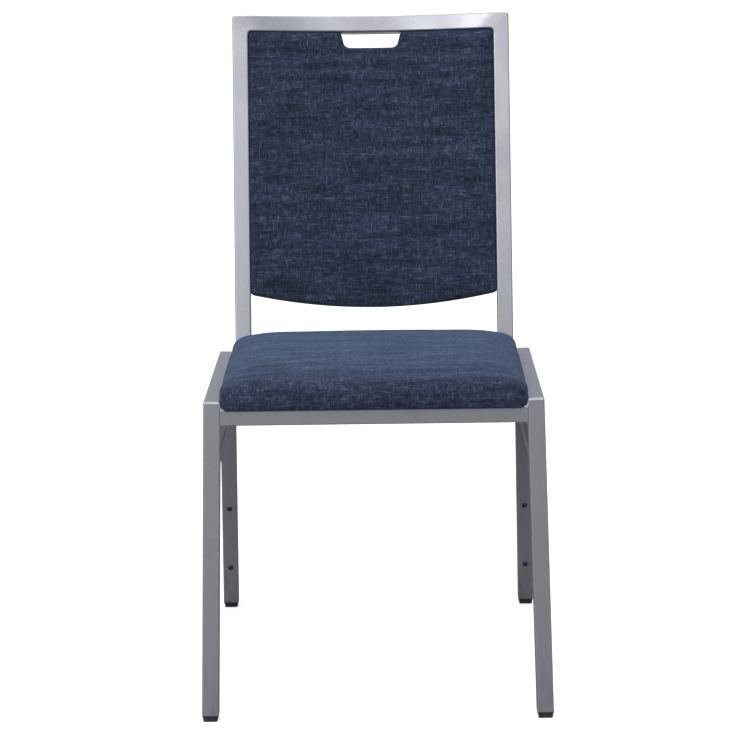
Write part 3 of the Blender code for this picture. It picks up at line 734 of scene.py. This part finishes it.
def stretchers():
    """The bars between the legs. Returns where each meets a leg, and which way that leg goes down."""
    ends = {}
    along = REAR_CORNER.normalized()
    middle = turned_left(along) * -STRETCHER_DROP
    rear_face = REAR_CORNER - turned_left(REAR_DOWN) * TUBE
    legs = (
        ("front", FRONT_DOWN, meet(middle, along, turned_left(FRONT_DOWN) * TUBE, FRONT_DOWN)),
        ("rear", REAR_DOWN, meet(middle, along, rear_face, REAR_DOWN)),
    )
    for side, name in SIDES:
        places = [side_place(side, point) for _, _, point in legs]
        normals = [side_way(side, -turned_left(down)) for _, down, _ in legs]
        straight_tube("side_stretcher_" + name, places, normals, ACROSS[side], STRETCHER)
        for place, (end_name, down, _) in zip(places, legs):
            ends[end_name, name] = (place, side_way(side, down))
    return ends


FILLET = 0.0046         # leg of a weld's concave fillet
SMALL_FILLET = 0.0036
FILLET_STEPS = 5
BEAD_STEP = 0.0009      # between a weld's rings
BEAD_PITCH = 0.0024
SUNK = 0.0004           # how far a weld reaches into the tubes


def weld(name, start, end, wall, tube, size=SMALL_FILLET, blunt=False):
    """A concave fillet along an inside corner, with the faint ripple of a bead under paint.

    wall and tube are the directions away from the corner along its two faces. A blunt one has no run-in
    at its start.
    """
    length = (end - start).length
    count = max(6, round(length / BEAD_STEP))
    rings = []
    for i in range(count + 1):
        share = i / count
        place = start.lerp(end, share)
        near_end = (1 - share) * length if blunt else min(share, 1 - share) * length
        grow = 0.30 + 0.70 * smooth(near_end, 0.0, 0.0030)
        ripple = 1 + 0.05 * math.sin(2 * math.pi * share * length / BEAD_PITCH)
        ripple += 0.10 * noise.noise(place * 240)
        leg = size * grow * ripple
        ring = [place - wall * SUNK - tube * SUNK, place + tube * leg - wall * SUNK]
        for k in range(FILLET_STEPS + 1):
            angle = math.radians(90 * k / FILLET_STEPS)
            ring.append(place + tube * leg * (1 - math.sin(angle)) + wall * leg * (1 - math.cos(angle)))
        ring.append(place + wall * leg - tube * SUNK)
        rings.append(ring)
    mesh = loft(name, rings)
    mesh.set_sharp_from_angle(angle=math.radians(50))
    add_piece(name, mesh, COAT)


def rail_welds(rail_ends, side, name):
    """Where the two rails under the seat meet a side frame."""
    half = TUBE / 2
    inward = ACROSS[side] * -side
    front = rail_ends["front", name]
    rear = rail_ends["rear", name]
    for sign, level, size in ((1, "upper", 0.0072), (-1, "lower", 0.0062)):
        edge = front + SEAT_Z * (sign * half)
        start = edge - SEAT_Y * 0.0095
        end = edge + SEAT_Y * 0.0088
        weld(f"weld_front_rail_{level}_{name}", start, end, SEAT_Z * sign, inward, size, True)
    edge = rear + SEAT_Z * half
    reach = SEAT_Y * 0.008
    weld(f"weld_rear_rail_upper_{name}", edge - reach, edge + reach, SEAT_Z, inward, FILLET)
    for sign, end_name in ((-1, "front"), (1, "rear")):
        edge = rear + SEAT_Y * (sign * half)
        top = edge + SEAT_Z * (half - 0.001)
        weld(f"weld_rear_rail_{end_name}_{name}", top, edge + SEAT_Z * 0.0008, SEAT_Y * sign, inward)


def stretcher_welds(stretcher_ends, side, name):
    """Above and below each end of a side stretcher."""
    for end_name, other_name in (("front", "rear"), ("rear", "front")):
        place, down = stretcher_ends[end_name, name]
        away = (stretcher_ends[other_name, name][0] - place).normalized()
        rise = away.cross(ACROSS[side]).normalized()
        half_height = STRETCHER / 2 / abs(down.dot(rise))
        reach = ACROSS[side] * 0.0068
        for sign, level in ((1, "upper"), (-1, "lower")):
            edge = place - down * (sign * half_height)
            weld(f"weld_stretcher_{end_name}_{level}_{name}", edge - reach, edge + reach, -down * sign, away)


def upright_welds(side, name):
    """Where an upright's foot stands against the side rail."""
    upright_x = side * (SIDE_HALF - TUBE / 2 - 0.0002)
    rail_top = SEAT @ Vector((0, 0, 0))
    foot_front = BACK @ Vector((0, 0.0025, 0.036))
    level = rail_top.z + (foot_front.y - rail_top.y) * SEAT_Y.z / SEAT_Y.y
    start = Vector((upright_x, foot_front.y, level))
    up = BACK.to_3x3() @ Vector((0, 0, 1))
    weld(f"weld_upright_outer_{name}", start, start + SEAT_Y * 0.0130, up, Vector((side, 0, 0)))
    top = BACK @ Vector((0, 0, 0.0355))
    low = BACK @ Vector((0, 0, 0.0190))
    top.x = low.x = upright_x
    forward = BACK.to_3x3() @ Vector((0, -1, 0))
    weld(f"weld_upright_front_{name}", top, low, forward, ACROSS[side] * -side)


def welds(rail_ends, stretcher_ends):
    for side, name in SIDES:
        rail_welds(rail_ends, side, name)
        stretcher_welds(stretcher_ends, side, name)
        upright_welds(side, name)


# ---------------------------------------------------------------- feet, bumpers and screws

# Height and relative width of a foot cap's rings, from its sole to the lip against the tube
CAP_LEVELS = (
    (0.0, 0.900), (0.0, 0.955), (0.0003, 0.975), (0.0010, 0.990), (0.0030, 1.020), (0.0058, 1.055),
    (0.0064, 1.072), (0.0068, 1.140), (0.0072, 1.163), (0.0080, 1.163), (0.00845, 1.150), (0.0085, 1.120),
)


def foot_caps():
    """Tapered plastic caps with a lip against the tube and a softened sole."""
    legs = (
        ("front", turned_left(FRONT_DOWN) * (TUBE / 2), FRONT_DOWN),
        ("rear", REAR_CORNER - turned_left(REAR_DOWN) * (TUBE / 2), REAR_DOWN),
    )
    half = TUBE / 2 * CAP_TAPER
    for side, name in SIDES:
        for end_name, line, down in legs:
            point = side_place(side, line)
            way = side_way(side, down)
            deep = half * math.hypot(1.0, way.y / way.z)
            rings = []
            for height, scale in CAP_LEVELS:
                centre = point + way * ((height - point.z) / way.z)
                ring = []
                for a, b, _ in square_profile(0.13, 6):
                    x = centre.x + (2 * a - 1) * half * scale
                    ring.append(Vector((x, centre.y + (2 * b - 1) * deep * scale, height)))
                rings.append(ring)
            mesh = loft("cap", rings)
            mesh.set_sharp_from_angle(angle=math.radians(55))
            cad = "foot_cap_%s_%s" % (end_name, name)
            add_piece("moulded_" + cad, mesh, CAP_PLASTIC, (cad,))


def lathe(name, profile, matrix, steps=32, shape=None):
    """A turned solid. profile holds (radius, height) pairs, and shape(ring, angle) can vary a radius."""
    rings = []
    for r, (radius, height) in enumerate(profile):
        ring = []
        for i in range(steps):
            angle = 2 * math.pi * i / steps
            reach = radius * (shape(r, angle) if shape else 1.0)
            ring.append(matrix @ Vector((reach * math.cos(angle), reach * math.sin(angle), height)))
        rings.append(ring)
    mesh = loft(name, rings)
    mesh.set_sharp_from_angle(angle=math.radians(40))
    return mesh


def facing_matrix(place, axis):
    """Stands a turned solid at a place, with its height along an axis."""
    matrix = axis.to_track_quat("Z", "X").to_matrix().to_4x4()
    matrix.translation = place
    return matrix


BUMPER_RADIUS = 0.0038
BUMPER_RIM = 0.0007     # height of the dome's straight edge
BUMPER_RISE = 0.0018    # height of the dome above it
BUMPER_STEM = 0.0017


def bumpers():
    """Domed bumpers on the front faces of the rear legs."""
    profile = [(BUMPER_STEM, -0.0040), (BUMPER_STEM, 0.0), (BUMPER_RADIUS, 0.0), (BUMPER_RADIUS, BUMPER_RIM)]
    for angle in (15, 30, 45, 60, 75, 86):
        turn = math.radians(angle)
        profile.append((BUMPER_RADIUS * math.cos(turn), BUMPER_RIM + BUMPER_RISE * math.sin(turn)))
    for side, name in SIDES:
        outward = side_way(side, -turned_left(REAR_DOWN))
        face = side_place(side, REAR_CORNER) + outward * TUBE
        for level in ("upper", "lower"):
            cad = "stack_bumper_%s_%s" % (level, name)
            low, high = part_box(cad)
            centre = (low + high) / 2
            centre -= outward * (centre - face).dot(outward)
            mesh = lathe("bumper", profile, facing_matrix(centre, outward))
            add_piece("domed_" + cad, mesh, BUMPER_PLASTIC, (cad,))


RECESS_RING = 6         # first ring of a screw head's recess


def crossed(ring, angle):
    """The star of a cross-head recess on a screw's inner rings."""
    if ring < RECESS_RING:
        return 1.0
    off_axis = abs((angle + math.pi / 4) % (math.pi / 2) - math.pi / 4)
    return 1.0 if off_axis < 0.30 else 0.42


SHANK = 0.0021          # radii of a seat screw
HEAD = 0.0045


def screws():
    """Pan-head screws from inside the cross rails up into the seat's board."""
    for end_name in ("front", "rear"):
        for _, name in SIDES:
            cad = "seat_screw_%s_%s" % (end_name, name)
            low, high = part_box(cad)
            middle = (low + high) / 2
            place = middle + SEAT_Z * (high.z - middle.z - 0.0002)
            length = (high - low).z - 0.0026
            profile = [(0.0012, 0.0), (SHANK, 0.0012), (SHANK, length), (HEAD, length)]
            for radius, rise in ((HEAD, 0.0008), (0.0034, 0.0022), (0.0024, 0.0024), (0.0020, 0.0013)):
                profile.append((radius, length + rise))
            mesh = lathe("screw", profile, facing_matrix(place, -SEAT_Z), 40, crossed)
            add_piece("pan_" + cad, mesh, ZINC, (cad,))


# ---------------------------------------------------------------- upholstery

def applied(name, obj):
    """The object's mesh with its modifiers applied. The object is removed."""
    depsgraph = bpy.context.evaluated_depsgraph_get()
    mesh = bpy.data.meshes.new_from_object(obj.evaluated_get(depsgraph))
    bpy.data.objects.remove(obj)
    mesh.name = name
    return mesh


CLOTH_FRAMES = 20
FOAM_GIVE = 0.1         # share of a move into the foam that is kept


def inflated(mesh, held, cap, pressure=4.0):
    """Blows a closed mesh up as cloth, over foam that hardly lets it sink in.

    held(point) says which points stay, and cap is the most that one moves.
    """
    holder = linked("inflating", mesh)
    start = [vertex.co.copy() for vertex in mesh.vertices]
    normals = [vertex.normal.copy() for vertex in mesh.vertices]
    group = holder.vertex_groups.new(name="held")
    group.add([i for i, point in enumerate(start) if held(point)], 1.0, "REPLACE")
    cloth = holder.modifiers.new("cloth", "CLOTH")
    settings = cloth.settings
    settings.quality = 6
    settings.mass = 0.25
    settings.tension_stiffness = 14
    settings.compression_stiffness = 14
    settings.shear_stiffness = 6
    settings.bending_stiffness = 0.6
    settings.use_pressure = True
    settings.uniform_pressure_force = pressure
    settings.vertex_group_mass = "held"
    settings.effector_weights.gravity = 0.0
    cloth.point_cache.frame_start = 1
    cloth.point_cache.frame_end = CLOTH_FRAMES
    for step in range(1, CLOTH_FRAMES + 1):
        SCENE.frame_set(step)
    depsgraph = bpy.context.evaluated_depsgraph_get()
    moved = [vertex.co.copy() for vertex in holder.evaluated_get(depsgraph).data.vertices]
    holder.modifiers.remove(cloth)
    SCENE.frame_set(1)
    for vertex, before, after, normal in zip(mesh.vertices, start, moved, normals):
        move = after - before
        move -= normal * ((1 - FOAM_GIVE) * min(move.dot(normal), 0.0))
        far = move.length
        if far > 1e-7:
            vertex.co = before + move * (cap * math.tanh(far / cap) / far)
    bpy.data.objects.remove(holder)


def relax(mesh, rounds, free):
    """Laplacian smoothing of the points for which free(point) is true."""
    bm = bmesh.new()
    bm.from_mesh(mesh)
    chosen = [vert for vert in bm.verts if free(vert.co)]
    axes = {"use_axis_x": True, "use_axis_y": True, "use_axis_z": True}
    for _ in range(rounds):
        bmesh.ops.smooth_vert(bm, verts=chosen, factor=0.5, **axes)
    bm.to_mesh(mesh)
    bm.free()


def subdivided(name, mesh):
    holder = linked(name, mesh)
    modifier = holder.modifiers.new("subdivision", "SUBSURF")
    modifier.levels = 1
    modifier.render_levels = 1
    return applied(name, holder)


def lay_weave(mesh, unfold):
    """Stores where each point lies on the flat cloth, in metres, so that the threads follow the shape."""
    mesh.shade_smooth()
    weave = mesh.attributes.new("weave", "FLOAT_VECTOR", "POINT")
    values = []
    for vertex in mesh.vertices:
        u, v = unfold(vertex.co, vertex.normal)
        values += (u, v, 0.0)
    weave.data.foreach_set("vector", values)


SEAT_HALF = 0.2030
SEAT_FRONT = -0.0080
SEAT_REAR = 0.3600
SEAT_BOTTOM = -0.0096
SEAT_REAR_RADIUS = 0.036
SEAT_CAP = 0.0060       # the most that the cloth moves the cushion's surface
# Height, side inset, front inset, rear inset and front corner radius of the cushion's rings
SEAT_LEVELS = (
    (SEAT_BOTTOM, 0.0048, 0.0006, 0.0016, 0.008),
    (-0.0070, 0.0042, 0.0002, 0.0012, 0.009),
    (-0.0020, 0.0040, 0.0000, 0.0010, 0.010),
    (0.0030, 0.0008, 0.0000, 0.0010, 0.012),
    (0.0080, 0.0000, 0.0000, 0.0010, 0.014),
    (0.0120, 0.0000, 0.0000, 0.0012, 0.015),
    (0.0165, 0.0010, 0.0006, 0.0020, 0.016),
    (0.0205, 0.0034, 0.0024, 0.0045, 0.018),
    (0.0245, 0.0076, 0.0060, 0.0085, 0.022),
    (0.0280, 0.0136, 0.0120, 0.0130, 0.026),
    (0.0305, 0.0200, 0.0195, 0.0180, 0.030),
    (0.0322, 0.0275, 0.0290, 0.0240, 0.034),
    (0.0330, 0.0360, 0.0400, 0.0320, 0.038),
)


def seat_ring(height, side_inset, front_inset, rear_inset, front_radius):
    """The cushion's outline at a height: a rectangle with its own rounding at front and rear."""
    half = SEAT_HALF - side_inset
    front = SEAT_FRONT + front_inset + front_radius
    rear = SEAT_REAR - rear_inset - SEAT_REAR_RADIUS
    corners = (
        (half - front_radius, front, front_radius, -90),
        (half - SEAT_REAR_RADIUS, rear, SEAT_REAR_RADIUS, 0),
        (SEAT_REAR_RADIUS - half, rear, SEAT_REAR_RADIUS, 90),
        (front_radius - half, front, front_radius, 180),
    )
    points = []
    for x, y, radius, start in corners:
        points += arc(x, y, radius, start, start + 90, 10)
    return [Vector((x, y, height)) for x, y in points]


def seat_cushion():
    """The seat's foam and cover: a crowned cushion whose front rolls down over the front rail."""
    holder = linked("seat_block", loft("seat_block", [seat_ring(*level) for level in SEAT_LEVELS]))
    remesh = holder.modifiers.new("remesh", "REMESH")
    remesh.mode = "VOXEL"
    remesh.voxel_size = 0.005
    mesh = applied("seat_cushion", holder)
    inflated(mesh, lambda point: point.z < -0.006, SEAT_CAP)
    relax(mesh, 6, lambda point: point.z > 0.002)
    relax(mesh, 40, lambda point: point.z > 0.029)
    mesh = subdivided("seat_cushion", mesh)
    shape_seat(mesh)
    top = max(vertex.co.z for vertex in mesh.vertices)

    def unfold(point, normal):
        level = Vector((normal.x, normal.y))
        drop = (top - point.z) / max(level.length, 0.25)
        return point.x + drop * level.x, point.y + drop * level.y

    lay_weave(mesh, unfold)
    piece = add_piece("seat_cushion", mesh, FABRIC, ("seat_foam", "seat_cover"), SEAT)


RAIL_INNER = SIDE_HALF - TUBE / 2 - 0.0012
ABOVE_RAIL = 0.0006
GATHER = 0.00055        # depth of the cloth's gathers at the corners


def shape_seat(mesh):
    """Crowns the cushion, gathers its cloth at the corners, and fits it round the side and front rails."""
    for vertex in mesh.vertices:
        point = vertex.co
        gather = smooth(-point.z, -0.024, 0.004) * smooth(abs(point.x), 0.150, 0.190)
        gather *= smooth(-point.y, -0.040, 0.0) + smooth(point.y, 0.300, 0.345)
        angle = math.atan2(point.y - (0.02 if point.y < 0.15 else 0.31), abs(point.x) - 0.165)
        fold = math.sin(angle * 13 + 2.5 * math.copysign(1, point.x)) + 0.6 * math.sin(angle * 23)
        push = GATHER * gather * fold
        point.x += push * math.copysign(math.cos(angle), point.x)
        point.y += push * math.sin(angle)
        crown = smooth(point.y, 0.0, 0.17) * smooth(-point.y, -0.33, -0.20)
        crown *= smooth(-abs(point.x), -0.21, -0.10)
        lift = 0.0050 * crown
        lift += 0.0025 * smooth(point.y, 0.04, 0.33)
        lift -= 0.0012 * smooth(-point.y, -0.12, -0.01)
        point.z += lift * smooth(point.z, 0.004, 0.030)
        point.z = max(point.z, SEAT_BOTTOM)
        if abs(point.x) > RAIL_INNER and point.z < ABOVE_RAIL:
            if abs(point.x) - RAIL_INNER < ABOVE_RAIL - point.z:
                point.x = math.copysign(RAIL_INNER, point.x)
            else:
                point.z = ABOVE_RAIL
        lap = smooth(-point.y, 0.0022, 0.0040) * smooth(-point.z, -0.012, 0.0090)
        point.z -= 0.0040 * lap * smooth(RAIL_INNER + 0.004 - abs(point.x), 0.0, 0.008)


def pad_half(height):
    """Half the back pad's width at a height."""
    return back_half(height) - TUBE - PAD_SIDE_GAP


def pad_outline():
    """Closed outline of the back pad, with its hand hold, rounded corners and sagging lower edge."""
    half_top = pad_half(PAD_TOP)
    half_low = pad_half(PAD_BOTTOM)
    points = [(0.0, NOTCH_FLOOR)]
    points += arc(NOTCH_HALF_LOW - NOTCH_CORNER, NOTCH_FLOOR + NOTCH_CORNER, NOTCH_CORNER, -90, -2, 10)
    points += [(NOTCH_HALF_TOP - 0.0003, PAD_TOP - 0.0020), (NOTCH_HALF_TOP + 0.0007, PAD_TOP)]
    points += arc(half_top - PAD_CORNER, PAD_TOP - PAD_CORNER, PAD_CORNER, 90, 0, 8)
    steps = 40
    corner = 0.0035
    points.append((half_low, PAD_BOTTOM + PAD_SAG + corner))
    points.append((half_low - corner * 0.3, PAD_BOTTOM + PAD_SAG + corner * 0.3))
    for i in range(steps):
        x = (half_low - corner) * (1 - i / steps)
        points.append((x, PAD_BOTTOM + PAD_SAG * (x / half_low) ** 2))
    points.append((0.0, PAD_BOTTOM))
    return [Vector(point) for point in points + [(-x, z) for x, z in reversed(points[1:-1])]]


def nearest_on(outline, point):
    """Closest place on a closed outline, and its distance."""
    best = None
    for a, b in zip(outline, outline[1:] + outline[:1]):
        way = b - a
        share = min(max((point - a).dot(way) / way.length_squared, 0.0), 1.0)
        place = a + way * share
        distance = (point - place).length
        if best is None or distance < best[1]:
            best = (place, distance)
    return best


FINE = (0.0, 0.0012, 0.0030, 0.0055, 0.0090)


def graded(length, step, fine_start=True):
    """Shares from 0 to 1 along a length, with finer steps towards its end, and its start if chosen."""
    start = list(FINE) if fine_start else [0.0]
    end = [length - place for place in reversed(FINE)]
    count = max(1, round((end[0] - start[-1]) / step))
    middle = [start[-1] + (end[0] - start[-1]) * i / count for i in range(1, count)]
    return [place / length for place in start + middle + end]


PAD_STEP = 0.0062
CORNER_REACH = 0.014       # how near to a corner the grid is smoothed


def pad_grid():
    """Flat grid of the pad's outline: points, quads, the rim's edges, and each point's distance from it."""
    outline = pad_outline()
    side_low = pad_half(PAD_BOTTOM)
    wing = side_low - NOTCH_HALF_LOW
    right = [("inner", share) for share in graded(NOTCH_HALF_LOW, PAD_STEP, False)]
    right += [("outer", share) for share in graded(wing, PAD_STEP)[1:]]
    columns = [(*column, -1) for column in reversed(right[1:])]
    columns += [(*column, 1) for column in right]
    rows = [("low", share) for share in graded(NOTCH_FLOOR - PAD_BOTTOM, PAD_STEP)]
    rows += [("hold", share) for share in graded(PAD_TOP - NOTCH_FLOOR, PAD_STEP)[1:]]
    points = {}
    for c, (kind, share, sign) in enumerate(columns):
        for r, (band, rise) in enumerate(rows):
            reach = share * NOTCH_HALF_LOW if kind == "inner" else NOTCH_HALF_LOW + share * wing
            notch = NOTCH_HALF_LOW
            if band == "low":
                bottom = PAD_BOTTOM + PAD_SAG * (reach / side_low) ** 2
                z = bottom + rise * (NOTCH_FLOOR - bottom)
            else:
                z = NOTCH_FLOOR + rise * (PAD_TOP - NOTCH_FLOOR)
                notch += (NOTCH_HALF_TOP - NOTCH_HALF_LOW) * rise
            x = share * notch if kind == "inner" else notch + share * (pad_half(z) - notch)
            points[c, r] = Vector((sign * x, z))
    cells = []
    for c in range(len(columns) - 1):
        over_hold = columns[c][0] == "inner" and columns[c + 1][0] == "inner"
        for r in range(len(rows) - 1):
            if over_hold and rows[r + 1][0] == "hold":
                continue
            cells.append(((c, r), (c + 1, r), (c + 1, r + 1), (c, r + 1)))
    used = sorted({key for cell in cells for key in cell})
    number = {key: i for i, key in enumerate(used)}
    bm = bmesh.new()
    verts = [bm.verts.new((points[key].x, 0.0, points[key].y)) for key in used]
    for cell in cells:
        bm.faces.new([verts[number[key]] for key in cell])
    edge_verts = [vert for vert in bm.verts if vert.is_boundary]
    for vert in edge_verts:
        place, _ = nearest_on(outline, Vector((vert.co.x, vert.co.z)))
        vert.co.x, vert.co.z = place
    near = []
    corners = [(NOTCH_HALF_LOW, NOTCH_FLOOR), (NOTCH_HALF_TOP, PAD_TOP)]
    corners += [(back_half(PAD_TOP) - TUBE, PAD_TOP), (side_low, PAD_BOTTOM + PAD_SAG)]
    for vert in bm.verts:
        if vert.is_boundary:
            continue
        flat = Vector((abs(vert.co.x), vert.co.z))
        if any((flat - Vector(corner)).length < CORNER_REACH for corner in corners):
            near.append(vert)
    for _ in range(8):
        bmesh.ops.smooth_vert(bm, verts=near, factor=0.5, use_axis_x=True, use_axis_z=True)
    bm.verts.index_update()
    flat = [Vector((vert.co.x, vert.co.z)) for vert in bm.verts]
    quads = [[vert.index for vert in face.verts] for face in bm.faces]
    rim = set(vert.index for vert in edge_verts)
    rim_edges = [[vert.index for vert in edge.verts] for edge in bm.edges if edge.is_boundary]
    bm.free()
    depth = [0.0 if i in rim else nearest_on(outline, place)[1] for i, place in enumerate(flat)]
    return flat, quads, rim_edges, depth


def rounded_edge(distance, radius):
    """How far a surface has fallen at a distance from a rounded edge."""
    if distance >= radius:
        return 0.0
    return radius - math.sqrt(max(radius * radius - (radius - distance) ** 2, 0.0))


WALLS = 2               # rings of points between a pad's two sides


def pad_shell(name, grid, front, rear, front_radius, rear_radius, front_crown, rear_crown):
    """A closed pad between two depths, each side with its own edge rounding and crown."""
    flat, quads, rim_edges, depth = grid
    count = len(flat)
    points = []
    for place, distance in zip(flat, depth):
        y = front + rounded_edge(distance, front_radius) - front_crown * smooth(distance, 0.0, 0.07)
        points.append((place.x, y, place.y))
    for place, distance in zip(flat, depth):
        y = rear - rounded_edge(distance, rear_radius) + rear_crown * smooth(distance, 0.0, 0.07)
        points.append((place.x, y, place.y))
    faces = [tuple(quad) for quad in quads]
    faces += [tuple(i + count for i in reversed(quad)) for quad in quads]
    rim = sorted({i for edge in rim_edges for i in edge})
    chain = {i: [i] for i in rim}
    for i in rim:
        a = Vector(points[i])
        b = Vector(points[i + count])
        for k in range(1, WALLS + 1):
            chain[i].append(len(points))
            points.append(tuple(a.lerp(b, k / (WALLS + 1))))
        chain[i].append(i + count)
    for i, j in rim_edges:
        for k in range(WALLS + 1):
            faces.append((chain[i][k], chain[j][k], chain[j][k + 1], chain[i][k + 1]))
    mesh = bpy.data.meshes.new(name)
    mesh.from_pydata(points, [], faces)
    bm = bmesh.new()
    bm.from_mesh(mesh)
    bmesh.ops.recalc_face_normals(bm, faces=bm.faces)
    bm.to_mesh(mesh)
    bm.free()
    return mesh


PAD_CAP = 0.0042
PANEL_REAR = 0.0268


def back_pads():
    """The padded front of the back and the thinner upholstered panel behind it."""
    grid = pad_grid()
    front = pad_shell("back_pad", grid, -0.0002, 0.01825, 0.0055, 0.0015, 0.0006, 0.0)
    inflated(front, lambda point: point.y > 0.0048, PAD_CAP, 3.0)
    panel = pad_shell("back_panel", grid, 0.0215, PANEL_REAR, 0.0010, 0.0030, 0.0, 0.0016)
    for name, shell, surface, facing, replaced in (
        ("back_pad", front, 0.0, -1, ("back_foam", "back_cover_front")),
        ("back_panel", panel, PANEL_REAR, 1, ("back_cover_rear",)),
    ):
        def unfold(point, normal):
            depth = max(0.0, (surface - point.y) * facing)
            reach = max(math.hypot(normal.x, normal.z), 0.25)
            return point.x + depth * normal.x / reach + facing * 0.4, point.z + depth * normal.z / reach

        mesh = subdivided(name, shell)
        lay_weave(mesh, unfold)
        for vertex in mesh.vertices:
            vertex.co.y += bowed(vertex.co.x)
        piece = add_piece(name, mesh, FABRIC, replaced, BACK)


# ---------------------------------------------------------------- assembly

COAT = powder_coated("silver_powder_coat", (0.50, 0.50, 0.53), (0.33, 0.33, 0.36))
FABRIC = slub_fabric(
    "navy_slub_fabric", base=(0.0280, 0.038, 0.074), light=(0.077, 0.092, 0.140),
    dark=(0.0108, 0.014, 0.030), sheen_tint=(0.385, 0.61, 1.0, 1.0),
)
CAP_PLASTIC = moulded_plastic("cap_plastic", (0.045, 0.043, 0.047), (0.026, 0.025, 0.028), 0.52)
BUMPER_PLASTIC = moulded_plastic("bumper_plastic", (0.020, 0.030, 0.085), (0.012, 0.018, 0.055), 0.38)
# Plywood made near black as painted shade in the seams between the covers.
SHADOW_DARK_PLYWOOD = plywood("plywood")
BLACK_CLOTH = black_cloth("black_dust_cloth")
ZINC = zinc("zinc_plated_steel")
CARRIED = {"plywood": SHADOW_DARK_PLYWOOD, "dust_cloth": BLACK_CLOTH, "zinc_steel": ZINC, "powder_coat": COAT}

make_camera()
make_studio()
side_frames()
back_frame()
grip_strip()
welds(cross_rails(), stretchers())
foot_caps()
bumpers()
screws()
seat_cushion()
back_pads()

for part in frame["record"]["subparts"]:
    node = frame["nodes"][part["node"]]
    if not node.hide_render and part["material_slot"] in CARRIED:
        node.data.materials.clear()
        node.data.materials.append(CARRIED[part["material_slot"]])
